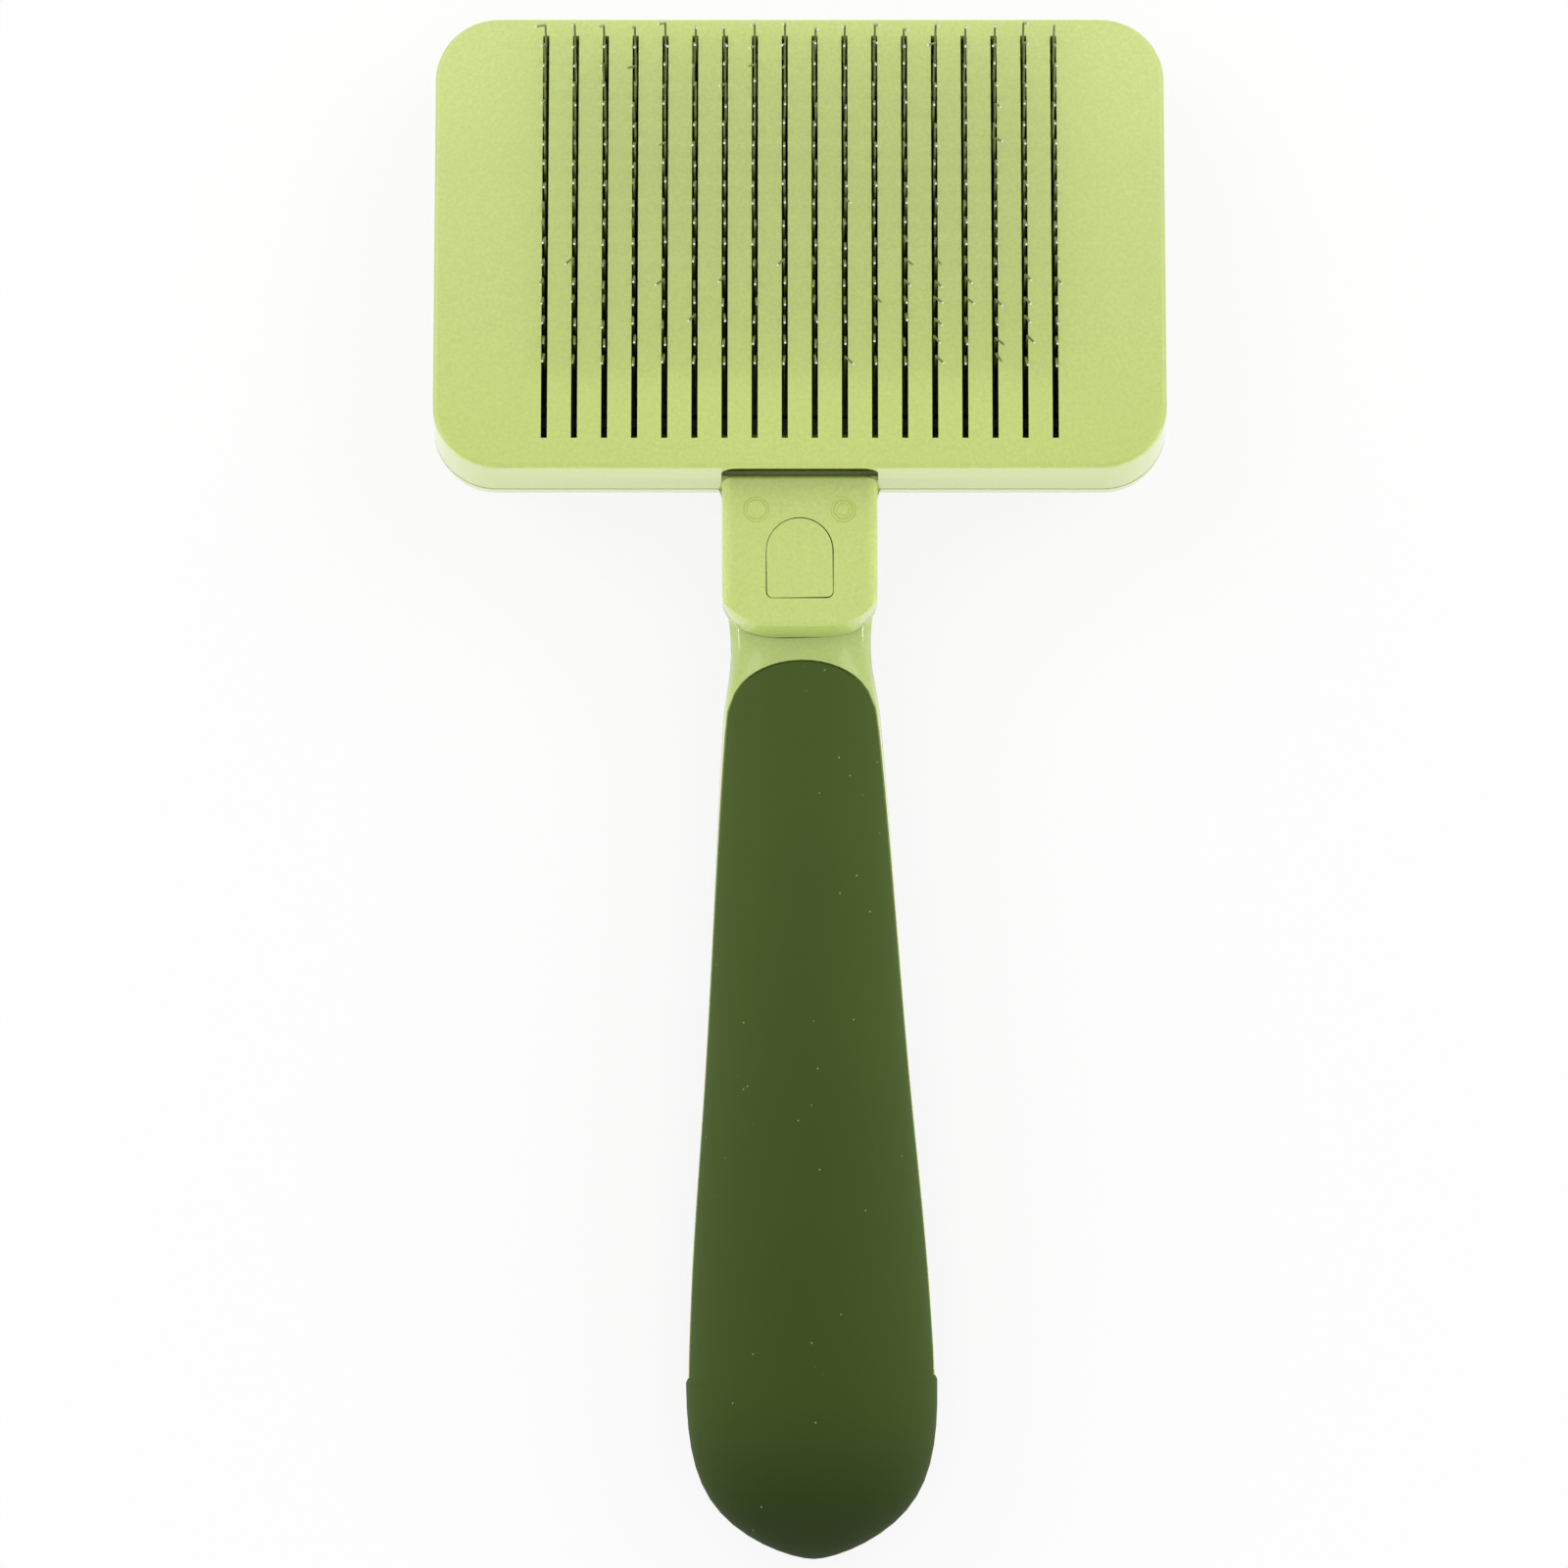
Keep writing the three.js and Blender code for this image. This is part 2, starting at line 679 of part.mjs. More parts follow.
// The rings stand square to the helix, so the outward and upward sides are the section's axes.
function returnSpring(at) {
  const rings = springPath().map((point) => {
    const outward = new THREE.Vector3(point.x, point.y, 0).normalize();
    const ring = [];
    for (let side = 0; side < springSides; side++) {
      const angle = (2 * Math.PI * side) / springSides;
      const offset = outward.clone().multiplyScalar(-Math.cos(angle));
      offset.z = Math.sin(angle);
      ring.push(point.clone().addScaledVector(offset, springWire / 2));
    }
    return ring;
  });
  return loft(rings).translate(at.x, at.y, 0);
}

// Least gap between turns of the wire, measured on the helix's points.
function leastSpringGap() {
  const points = springPath();
  let least = Infinity;
  for (let i = 0; i < points.length; i++) {
    for (let j = i + springSteps / 2; j < points.length; j++) {
      least = Math.min(least, points[i].distanceTo(points[j]) - springWire);
    }
  }
  return least;
}

// ---------------------------------------------------------------- thumb button and screws

function buttonScrewPlaces() {
  return [-buttonScrewSpread, buttonScrewSpread];
}

// Everything under the sloping thumb face at a distance below the thumb pad's outer face.
function underThumbFace(below) {
  const reach = headWidth;
  const slab = box(-reach, reach, -reach, reach, -reach, 0);
  return slab
    .rotateX(radians(buttonSlope))
    .translate(0, buttonY, headBack - buttonProud + below);
}

function thumbButton() {
  const halfX = buttonWidth / 2;
  const halfY = buttonLength / 2;
  const low = headBack - 2 * buttonProud;
  const stem = roundedBlock(halfX, halfY, buttonCorner, low, flangeFront, buttonY);
  const flange = roundedBlock(
    halfX + flangeReach,
    halfY + flangeReach,
    buttonCorner + flangeReach,
    flangeBack,
    flangeFront,
    buttonY,
  );
  const face = underThumbFace(thumbPadThickness + clearance);
  const hollowFloor = headBack - buttonWall;
  const hollow = roundedBlock(
    halfX - buttonWall,
    halfY - buttonWall,
    buttonCorner - buttonWall,
    hollowFloor,
    flangeFront + past,
    buttonY,
  );
  const bosses = buttonScrewPlaces().map((x) =>
    upright(bossRadius, hollowFloor - rootDepth, flangeFront, x, buttonY),
  );
  const pilotLow = trayFloorTop - screwHeadHeight - buttonScrewLength - pilotPast;
  const pilots = buttonScrewPlaces().map((x) =>
    upright(screwRadius + clearance, pilotLow, flangeFront + past, x, buttonY, screwSides),
  );
  return cut(join(cut(join(stem, flange), hollow), ...bosses), face, ...pilots);
}

// Rubber pad on the thumb face, with ribs across it.
function buttonPad() {
  const halfX = buttonWidth / 2 - thumbPadInset;
  const halfY = buttonLength / 2 - thumbPadInset;
  const corner = buttonCorner - thumbPadInset;
  const soft = thumbPadThickness / 3;
  const plate = loft([
    roundedRing(halfX - soft, halfY - soft, corner - soft, 0),
    roundedRing(halfX, halfY, corner, soft),
    roundedRing(halfX, halfY, corner, thumbPadThickness),
  ]);
  const pitch = (2 * halfY) / (thumbRibs + 1);
  const ribHalf = pitch / 5;
  const ribs = [];
  for (let rib = 0; rib < thumbRibs; rib++) {
    const y = -halfY + (rib + 1) * pitch;
    const reach = halfX - corner * 0.6;
    ribs.push(box(-reach, reach, y - ribHalf, y + ribHalf, -thumbRibHeight, soft));
  }
  return join(plate, ...ribs)
    .rotateX(radians(buttonSlope))
    .translate(0, buttonY, headBack - buttonProud);
}

// A pan-head screw pointing up, with its head's seat at the origin.
function screw(length) {
  const profile = [
    new THREE.Vector2(0, -screwHeadHeight),
    new THREE.Vector2(screwHeadRadius * 0.65, -screwHeadHeight),
    new THREE.Vector2(screwHeadRadius, -screwHeadHeight * 0.45),
    new THREE.Vector2(screwHeadRadius, 0),
    new THREE.Vector2(screwRadius, 0),
    new THREE.Vector2(screwRadius, length - screwRadius),
    new THREE.Vector2(0, length),
  ];
  const body = new THREE.LatheGeometry(profile, screwSides).rotateX(Math.PI / 2);
  const reach = screwHeadRadius * 0.6;
  const half = driveWidth / 2;
  const low = -screwHeadHeight - past;
  const high = -screwHeadHeight + driveDepth;
  return cut(body, box(-reach, reach, -half, half, low, high), box(-half, half, -reach, reach, low, high));
}

function shellScrew(at) {
  return screw(shellScrewLength).translate(at.x, at.y, screwSeat - clearance);
}

function buttonScrew(x) {
  const seat = trayFloorTop - screwHeadHeight + clearance / 2;
  return screw(buttonScrewLength).rotateX(Math.PI).translate(x, buttonY, seat);
}

// ---------------------------------------------------------------- handle

// The handle's section at any place from the sleeve to the butt.
function sectionAt(along) {
  const places = [rootPlace, waistPlace, throatPlace, middlePlace, lowPlace, swellPlace];
  const through = (sizes) => {
    const points = places.map((place, index) => new THREE.Vector3(place, sizes[index], 0));
    const curve = new THREE.CatmullRomCurve3(points, false, "centripetal");
    let low = 0;
    let high = 1;
    for (let step = 0; step < 40; step++) {
      const middle = (low + high) / 2;
      if (curve.getPoint(middle).x < along) low = middle;
      else high = middle;
    }
    return curve.getPoint(low).y;
  };
  return {
    halfWidth: through([
      rootHalfWidth,
      waistHalfWidth,
      throatHalfWidth,
      middleHalfWidth,
      lowHalfWidth,
      swellHalfWidth,
    ]),
    halfDepth: through([
      waistHalfDepth,
      waistHalfDepth,
      throatHalfDepth,
      middleHalfDepth,
      swellHalfDepth,
      swellHalfDepth,
    ]),
    drop: through([waistDrop, waistDrop, throatDrop, 0, 0, 0]),
  };
}

// A cross-section of the handle, anticlockwise seen from the head.
function handleRing(along, halfX, halfZ, drop) {
  const ring = [];
  const power = 2 / sectionPower;
  for (let side = 0; side < handleSides; side++) {
    const angle = (2 * Math.PI * side) / handleSides;
    const sine = Math.sin(angle);
    const cosine = Math.cos(angle);
    const x = halfX * Math.sign(sine) * Math.abs(sine) ** power;
    const z = halfZ * Math.sign(cosine) * Math.abs(cosine) ** power;
    ring.push(new THREE.Vector3(x, -along, z - drop));
  }
  return ring;
}

// The handle's body, shrunk by an inset all round; side(along) moves its two sides out.
// The extra places get a ring each.
function handleBody(inset, side = () => 0, places = []) {
  const buttStart = handleEnd - buttRound;
  const alongs = [...places];
  for (let step = 0; step <= handleRings; step++) {
    alongs.push(rootPlace + ((buttStart - rootPlace) * step) / handleRings);
  }
  alongs.sort((a, b) => a - b);
  const rings = alongs.map((along) => {
    const at = sectionAt(along);
    return handleRing(along, at.halfWidth - inset + side(along), at.halfDepth - inset, at.drop);
  });
  const widest = sectionAt(buttStart);
  for (let step = 1; step <= buttRings; step++) {
    const angle = (0.955 * (step / buttRings) * Math.PI) / 2;
    const reach = (buttRound - inset) * Math.sin(angle) ** (2 / buttPower);
    const scale = Math.cos(angle) ** (2 / buttPower);
    const halfX = (widest.halfWidth - inset + side(buttStart)) * scale;
    rings.push(handleRing(buttStart + reach, halfX, (widest.halfDepth - inset) * scale, 0));
  }
  return loft(rings.reverse());
}

// Plan outline of the grip, from its arched top past the butt, shrunk by an inset.
function gripPlan(inset) {
  const reach = 3 * archHalfWidth;
  const shape = new THREE.Shape();
  const shoulder = -(archTop + archHeight);
  shape.moveTo(reach, shoulder - inset);
  shape.lineTo(archHalfWidth, shoulder - inset);
  shape.absellipse(0, shoulder - inset, archHalfWidth, archHeight, 0, Math.PI, false, 0);
  shape.lineTo(-reach, shoulder - inset);
  shape.lineTo(-reach, -2 * handleEnd);
  shape.lineTo(reach, -2 * handleEnd);
  shape.closePath();
  const options = { depth: 2 * reach, bevelEnabled: false, curveSegments: roundSides };
  return new THREE.ExtrudeGeometry(shape, options).translate(0, 0, -reach);
}

// The band between the two faces of the grip, from the neck down to where the rubber closes.
function rimBand(grow) {
  const reach = 3 * archHalfWidth;
  const half = rimHeight / 2 + grow;
  return box(-reach, reach, -rimEnd - grow, 0, -half, half);
}

function handleCore() {
  const options = { depth: 2 * sleeveThickness, bevelEnabled: false };
  const half = sleeveWidth / 2 + clearance;
  const outline = new THREE.Shape(sleevePoints(half, clearance, -clearance));
  const sleeveSpace = new THREE.ExtrudeGeometry(outline, options).translate(0, 0, -sleeveThickness);
  const underGrip = cut(gripPlan(0), rimBand(0), handleBody(rubberThickness));
  const body = cut(handleBody(0), underGrip, sleeveSpace);
  // The tang's root stays inside the handle's skin until the sleeve's round corners hide it.
  const root = common(sleeveRoom(-rubberThickness, sleeveCornerHeight, clearance), handleBody(clearance));
  const tang = sleeveRoom(sleeveWall, tangLength, clearance);
  const tabRoot = sleeveThickness / 2 - sleeveFrontWall - 2 * clearance;
  return join(body, root, tang, tabBlock(0, tabRoot, sleeveThickness / 2));
}

function gripCover() {
  const side = (along) => (along < rimEnd ? -rimProud : buttProud);
  const outer = handleBody(0, side, [rimEnd - clearance, rimEnd + clearance]);
  const panel = common(outer, gripPlan(clearance));
  return cut(panel, handleBody(rubberThickness - clearance), rimBand(clearance));
}

// ---------------------------------------------------------------- finishes

function finish(colour, roughness, metalness = 0) {
  return new THREE.MeshStandardMaterial({ color: colour, roughness, metalness });
}

const limePlastic = () => finish("#c7d886", 0.45);
const darkRubber = () => finish("#445227", 0.85);
const blackPlastic = () => finish("#2d3418", 0.5);
const pinSteel = () => finish("#c9ccc6", 0.3, 1);
const screwSteel = () => finish("#a9acae", 0.35, 1);

// ---------------------------------------------------------------- assembly

function piece(name, geometry, material) {
  const mesh = new THREE.Mesh(geometry, material);
  mesh.name = name;
  return mesh;
}

function buildHead() {
  const head = new THREE.Group();
  head.name = "head";
  head.add(piece("front_shell", frontShell(), limePlastic()));
  head.add(piece("back_shell", backShell(), limePlastic()));
  head.add(piece("pin_carrier", pinCarrier(), blackPlastic()));
  ["left", "middle", "right"].forEach((side, bank) =>
    head.add(piece("pin_bank_" + side, pinBank(bank), pinSteel())),
  );
  head.add(piece("thumb_button", thumbButton(), limePlastic()));
  head.add(piece("button_pad", buttonPad(), darkRubber()));
  fourCorners(springX, springSpread, padMiddle).forEach((at, index) =>
    head.add(piece("return_spring_" + (index + 1), returnSpring(at), pinSteel())),
  );
  fourCorners(bossX, bossY).forEach((at, index) =>
    head.add(piece("shell_screw_" + (index + 1), shellScrew(at), screwSteel())),
  );
  buttonScrewPlaces().forEach((x, index) =>
    head.add(piece("button_screw_" + (index + 1), buttonScrew(x), screwSteel())),
  );
  return head;
}

function buildHandle() {
  const handle = new THREE.Group();
  handle.name = "handle";
  handle.applyMatrix4(handleFrame());
  handle.add(piece("handle_core", handleCore(), limePlastic()));
  handle.add(piece("grip_cover", gripCover(), darkRubber()));
  return handle;
}

function lowestPoint(group) {
  return new THREE.Box3().setFromObject(group, true).min.z;
}

// Lays the brush on its back: it is turned until head and butt both touch the surface.
function layDown(brush, head, handle) {
  let low = 0;
  let high = 30;
  for (let step = 0; step < 24; step++) {
    const middle = (low + high) / 2;
    brush.rotation.x = -radians(middle);
    brush.updateMatrixWorld(true);
    if (lowestPoint(head) > lowestPoint(handle)) low = middle;
    else high = middle;
  }
  const bounds = new THREE.Box3().setFromObject(brush, true);
  const middle = bounds.getCenter(new THREE.Vector3());
  brush.position.set(-middle.x, -middle.y, -bounds.min.z);
  brush.updateMatrixWorld(true);
}

const brush = new THREE.Group();
brush.name = "slicker_brush";
const head = buildHead();
const handle = buildHandle();
brush.add(head, handle);
layDown(brush, head, handle);

console.log("least gap between spring turns: " + leastSpringGap().toFixed(2) + " mm");

export default brush;
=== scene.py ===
import json
import math
import random

import bmesh
import bpy
from bmesh.types import BMEdge, BMFace, BMVert
from bpy.props import FloatProperty, FloatVectorProperty, IntProperty, PointerProperty
from mathutils import Matrix, Vector


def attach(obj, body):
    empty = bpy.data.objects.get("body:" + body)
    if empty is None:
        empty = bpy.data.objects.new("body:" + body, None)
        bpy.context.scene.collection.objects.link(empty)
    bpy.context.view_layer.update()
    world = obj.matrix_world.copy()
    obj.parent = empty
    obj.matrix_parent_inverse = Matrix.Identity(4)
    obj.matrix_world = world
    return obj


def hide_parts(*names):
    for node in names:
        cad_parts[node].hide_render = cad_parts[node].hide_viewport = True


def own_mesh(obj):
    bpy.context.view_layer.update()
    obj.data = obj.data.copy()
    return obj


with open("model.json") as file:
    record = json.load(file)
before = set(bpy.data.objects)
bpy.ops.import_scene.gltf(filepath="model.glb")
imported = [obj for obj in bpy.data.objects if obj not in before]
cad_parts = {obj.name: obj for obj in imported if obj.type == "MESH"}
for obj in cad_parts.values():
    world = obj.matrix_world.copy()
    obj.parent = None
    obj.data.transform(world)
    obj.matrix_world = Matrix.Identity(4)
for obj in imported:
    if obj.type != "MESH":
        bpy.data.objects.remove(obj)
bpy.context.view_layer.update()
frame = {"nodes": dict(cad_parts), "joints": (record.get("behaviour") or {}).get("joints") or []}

# A slicker brush lying on its back with the pins up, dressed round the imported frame.
# Shapes are modelled in millimetres in the frame of the head, the neck sleeve or the handle,
# and are scaled to metres when they are put in their place.

bl_info = {
    "name": "Slicker Brush",
    "version": (1, 0, 0),
    "blender": (4, 5, 0),
    "location": "3D View > Sidebar > Brush",
    "description": "Models a slicker brush whose pins draw back into its head",
    "category": "Add Mesh",
}

MM = 0.001
X, Y, Z = Vector((1, 0, 0)), Vector((0, 1, 0)), Vector((0, 0, 1))
HAIR = 1e-3  # of a millimetre: places nearer than this are the same

# ---------------------------------------------------------------- sizes shared with the CAD

CLEARANCE = 0.3  # between pieces that seat on each other
SLIDING_GAP = 0.4  # round what passes through
PAST = 1  # how far a cutter runs past what it cuts
ROOT = 0.5  # how far a post or boss runs into its wall

HALF_WIDTH, HALF_LENGTH = 48.8, 31.1  # of the head, across and along the handle
HEAD_CORNER = 8.5
PARTING = 10.2  # from the face to the joint of the two shells
FRONT_WALL = 2
BACK_EDGE = 7
BACK_ROOM_EDGE = 2.8
WALL_DRAFT = 0.3
LIP_HEIGHT = 1.8
LIP_THICKNESS = 0.8
SIDE_MARGIN = 14.8  # from the edge of the head to the middle of the first slot

PIN_ROWS = 18
FIRST_KNEE = 11.1  # from the slots' near ends to the knees of the first row
LAST_KNEE = 0.6  # from the slots' far ends on to the knees of the last row
KNEE_HEIGHTS = (0.7, 3)  # over the face, from the first row to the last
LEANS = (22, 34)  # of the pins' shafts, in degrees, from the first row to the last
TIP_LEANS = (33, 21)  # of their tips, the other way
PIN_ROOT = 0.8

# Heights are over the face, so those inside the head are below zero.
TRAVEL = 7  # of the pins
FORWARD_GAP = 0.6  # between the pads and the face when the pins are out
PAD_TOP = -(FRONT_WALL + FORWARD_GAP + TRAVEL)
PAD_THICKNESS = 1.7
PAD_MARGIN = 1.2
TRAY_FLOOR = PAD_TOP - PAD_THICKNESS - CLEARANCE
TRAY_THICKNESS = 2.2
FLANGE_FRONT = TRAY_FLOOR - TRAY_THICKNESS - CLEARANCE  # of the thumb button
FLANGE_THICKNESS = 2.1
FLANGE_BACK = FLANGE_FRONT - FLANGE_THICKNESS
BACK_FLOOR = FLANGE_BACK - CLEARANCE  # inner face of the back shell
HEAD_BACK = BACK_FLOOR - FRONT_WALL  # outer face of the back shell
REST_GAP = 0.5  # between the springs' cups and the back shell
CUP_FLOOR = 1.4
CUP_BOTTOM = BACK_FLOOR + REST_GAP
CUP_SEAT = CUP_BOTTOM + CUP_FLOOR

SPRING_RADIUS = 2.7
CUP_RADIUS = 4.1
SPRING_X = HALF_WIDTH - SIDE_MARGIN + PAD_MARGIN + CLEARANCE + CUP_RADIUS
SPRING_SPREAD = 13.956  # along the head, from the middle of the four springs
SPRING_MIDDLE = 0.145
POST_RADIUS = 1.7

BUTTON_FROM_EDGE = 17.5
BUTTON_Y = BUTTON_FROM_EDGE - HALF_LENGTH
BUTTON_HALF = (15, 9)
BUTTON_CORNER = 8
BUTTON_PROUD = 7.2
BUTTON_WALL = 2
BUTTON_SLOPE = math.radians(12)
FLANGE_REACH = 2
THUMB_PAD = 1.5
THUMB_INSET = 0.9
RIBS, RIB_HEIGHT = 4, 0.6  # on the thumb pad

SCREW_RADIUS = 1.1
SCREW_HEAD = (2.3, 1.3)  # radius and height
BOSS_RADIUS = 3.1
BOSS_INSET = 7.2
BOSS_AT = (HALF_WIDTH - BOSS_INSET, HALF_LENGTH - BOSS_INSET)
SCREW_RECESS = 1  # from the back to a shell screw's head
SCREW_SEAT = HEAD_BACK + SCREW_RECESS + SCREW_HEAD[1] + CLEARANCE  # floor of its counterbore
SHELL_SCREW, BUTTON_SCREW = 11, 7
BUTTON_SCREW_X = 9

SLEEVE_HALF = 10.4
SLEEVE_DEPTH = 6.5  # from the handle's axis to its front and back
SLEEVE_LENGTH = 21.65
SLEEVE_CORNER = (7.7, 4.8)  # half axes of the elliptical corners at its lower end
SLEEVE_EDGE = 1.5
SLEEVE_SLOPE = (1.7, 3.2)  # how far the front of the lower end leans back, and over what depth
SLEEVE_RECESS = 5
SLEEVE_WALL = (2.1, 3.4)  # at its sides and back, and at its front
NECK_FLARE = 3.6  # radius of the fillets between the sleeve's sides and the back shell
TANG = 18.8
TAB = (8.85, 10.6, 0.8, 5.55)  # width, height, corner and distance from the sleeve's end

HANDLE_BEND = math.radians(16.2)
HANDLE_LEAN = math.radians(0.85)
STATIONS = {  # distance from the sleeve: half width, half depth, drop of the section's middle
    -7: (10.3, 4.4, 0.8),
    2.3: (9.5, 4.4, 0.8),
    11.35: (10.6, 6, 0.5),
    56.35: (13.6, 9.7, 0),
    83.35: (15.8, 10.5, 0),
    101.35: (16.8, 10.5, 0),
}
NECK_ROOT = min(STATIONS)
RIM_END = 99.85
BUTT_PROUD = 0.2  # of the grip outside the rim's line round the butt
SECTION = 2 / 2.4  # superellipse of the cross-section
BUTT = 2 / 2.2  # superellipse of the butt

# ---------------------------------------------------------------- sizes that the looks set

FAR_MARGIN, NEAR_MARGIN = 2.4, 4.05  # from the edges of the face to the slots' ends
CORNER_STEPS = 14  # faces round a corner of the head
DOORWAY = (-0.7, 2.2)  # top and corners of the opening over the neck block
BORE_CHAMFER, MOUTH_CHAMFER = 0.25, 0.3  # of the screws' counterbores and the button's opening
CREASE, BLOCK_EDGE = 0.2, 0.4  # round the sleeve's sloped end and the proud block
BLOCK = (-0.1, 1.2, 1.6)  # how far it ends short of the wall's line, its height and upper corners
WELL_FLOOR = 3  # wall left behind the dark gap over the block
WELL_OVERLAP = 0.05  # of the well with the block
NECK_GAP = 0.02  # the fine line where the neck meets the sleeve
MARKS = (1.6, 0.16, 5.8, 17.3)  # ejector marks: radius, depth, spread and distance from the end
SECOND_MARK = 0.7  # radius of the ring inside the right one, as a share
TAB_GROOVE, TAB_EDGE = 0.1, 0.12

SEED = 18  # of the chance by which the pins stray
RISE = 0.5  # play of the knees' height and of the tips' length, as a share of that along the row
SWAY = 0.4  # the same, of the knees sideways
FAN_PIVOT = 0.55  # where the fanned pins still stand in line, from the pad up to the knee
LAST_ROWS = 2  # whose tips spread more
TIP_SPREADS = (0.03, 0.1)  # of the tips' turns sideways: of most rows, and of the last rows
TIP_FAN = 0.02  # turn of the outermost tips outwards
STRAY_TURNS = (0.16, 0.32)  # of the tips that stray from their row
STRAY_SHARES = (0.04, 0.5)  # how many stray: of most, and of the near rows on the right
STRAY_ROWS, STRAY_SIDE = 6, 0.2  # the near rows, and where the right starts on the way out
GLINT_SHARE = 0.75  # share of the pins whose knees and tips get painted glints
PAD_EDGE = 0.25

COIL_STEPS = 20  # a turn
OPEN_TURNS = 4.5
COIL_RISE = 1.08  # of a closed turn, in thicknesses of the wire
CROWN_EDGE = 0.7
RIB_EDGE, RIB_SINK = 0.3, 0.5
RIB_REACH = 0.6  # how far the ribs stay from the pad's ends, as a share of its corners
THUMB_EDGE = 0.5
PAN = ((0.45, 0.99), (0.75, 0.86), (0.94, 0.55), (1, 0.2), (1, 0))  # curve of a screw's head
SCREW_POINT = 1.6
RECESS = (0.6, 0.3, 0.7)  # of a screw: reach as a share of the head, half width and depth

ARCH = (2.95, 6.8, 9.7)  # top, height and half width of the arch where the grip starts
PANEL, BAND = 18, 2  # columns across a face of the grip and across the rim
COLUMNS = 2 * (PANEL + BAND)
NECK_STEPS, GRIP_STEPS, BUTT_STEPS = 9, 30, 14
GRIP_SPREAD = 1.25  # above 1 the grip's rows crowd towards the arch
HANDLE_END = 124.8
BUTT_ROUND = 24
BUTT_CLOSE = 0.985  # of the quarter turn that the butt's rows take, before its end is closed
BUTT_FALL = (0.5, 0.72)  # how the butt's width falls with its turn, at its start and added on
BUTT_STEP = 0.3  # half the length of the step from the grip's sides to the butt
CORE_EDGE = 0.15
RIM_GAP = 0.06  # between the grip and the rim
NECK_REACH = 13  # of the cutter that makes room for the sleeve, to each side of the axis

# Colour factors of the lime along the brush, mostly painted light and shade: where each starts and
# is full, in mm along Y, and its factors.
# On the face: a painted highlight that pales the far edge, and a yellower tone towards the handle.
FACE_LIGHT_AND_TINT = ((84, 102, (1.1, 1.09, 1.14)), (77, 47, (1, 1, 0.87)))
# On the back shell: painted shade on the sleeve's sloped lower end, and painted light on the neck
# block and the pan.
SLEEVE_LIGHT_AND_SHADE = ((22.4, 21.2, (0.76, 0.8, 0.82)), (22.4, 23.4, (1.08, 1.07, 1.05)))
# On the handle core: painted shade on the neck between the block and the grip, and painted light on
# the tab in the block's window, to match the block.
CORE_LIGHT_AND_SHADE = ((8, 16, (0.8, 0.84, 0.78)), (22.4, 23.4, (1.35, 1.27, 1.35)))
# The painted shade among the slots: its middle along the head, and where it starts and is full,
# from the outermost slots and from that middle.
FIELD_MIDDLE, FIELD_ACROSS, FIELD_ALONG = 4.4, (4, -8), (25, 13)
# Painted shade that darkens the grip towards the butt: from and to, in mm down the handle, the
# factors and the fade.
GRIP_PAINTED_SHADE = ((25, 110, (0.7, 0.75, 0.6), "LINEAR"), (100, 126, (0.36, 0.38, 0.4), "SMOOTHSTEP"))
DUST = "#c9cdb8"
WORN_STEEL, CLEAN_STEEL, GLINT_STEEL = 0.34, 0.3, 0.2  # roughness; the last is of the bright steel that paints glints on the pins

# The stage, in metres and watts.
LAMPS = {  # place, size and power of the right one of each pair
    "softbox": ((0.5, 0.46, 0.6), (0.75, 0.75), 1.85),
    "strip": ((0.3, -0.2, 0.016), (0.5, 0.028), 0.5),
}
LAMP_AIM = Vector((0, 0.03, 0.014))
SKY_LIGHT = 0.66  # strength of the white sky where it lights the brush
FLOOR_HALF = 2.5
FLOOR_PAPER = 0.9
FLOOR_SHADE = 0.15  # how much of the shadows on the floor the camera sees
CAMERA_AT = (-0.0021, 0.0014, 0.0239)  # the point it looks down on
CAMERA_HEIGHT, CAMERA_VIEW = 1.1, 0.20915  # over that point, and the width that it sees there
SENSOR = 36  # mm


def linear(code):
    """Turns an sRGB hex colour to linear red, green and blue."""
    channels = [int(code[at:at + 2], 16) / 255 for at in (1, 3, 5)]
    return [c / 12.92 if c <= 0.04045 else ((c + 0.055) / 1.055) ** 2.4 for c in channels]


def length(name, description, size):
    """A length property whose default is given in millimetres."""
    return FloatProperty(name=name, description=description, default=size * MM, min=0,
                         precision=5, subtype="DISTANCE", unit="LENGTH")


def colour(name, description, default):
    """A colour property whose default is an sRGB hex colour."""
    return FloatVectorProperty(name=name, description=description, default=linear(default),
                               min=0, max=1, subtype="COLOR")


class BRUSH_PG_head(bpy.types.PropertyGroup):
    width: length("Width", "Width of the head across its face", 2 * HALF_WIDTH)
    length: length("Length", "Length of the head along the handle", 2 * HALF_LENGTH)
    corner: length("Corner radius", "Radius of the corners of the outline", HEAD_CORNER)
    face_edge: length("Face edge", "Radius of the edge round the slotted face", 0.6)
    back_edge: length("Back edge", "Radius of the edge round the back", BACK_EDGE)
    slot_width: length("Slot width", "Width of each slot in the face", 0.8)
    slot_rim: length("Slot rim", "Radius of the rim of each slot", 0.12)
    slots: IntProperty(name="Slots", description="Number of slots, a row of pins in each",
                       default=18, min=3, max=30)


class BRUSH_PG_pins(bpy.types.PropertyGroup):
    wire: length("Wire", "Diameter of the pins' wire", 0.32)
    bend: length("Bend radius", "Radius of the bend at the knee of a pin", 0.7)
    tip: length("Tip", "Length of a pin from its knee to its tip", 3.5)
    play: length("Play", "How far a knee stands out of line", 0.2)
    fan: length("Fan", "How far the outermost pins lean outwards, from pad to knee", 0.2)
    spring_wire: length("Spring wire", "Diameter of the return springs' wire", 0.8)


class BRUSH_PG_handle(bpy.types.PropertyGroup):
    rubber: length("Rubber", "Thickness of the grip", 1.9)
    rim_height: length("Rim height", "Height of the lime rim along the grip's sides", 3.2)
    rim_proud: length("Rim proud", "How far the rim stands out of the grip", 0.05)
    soft_edge: length("Grip edge", "Radius of the grip's edges", 0.45)


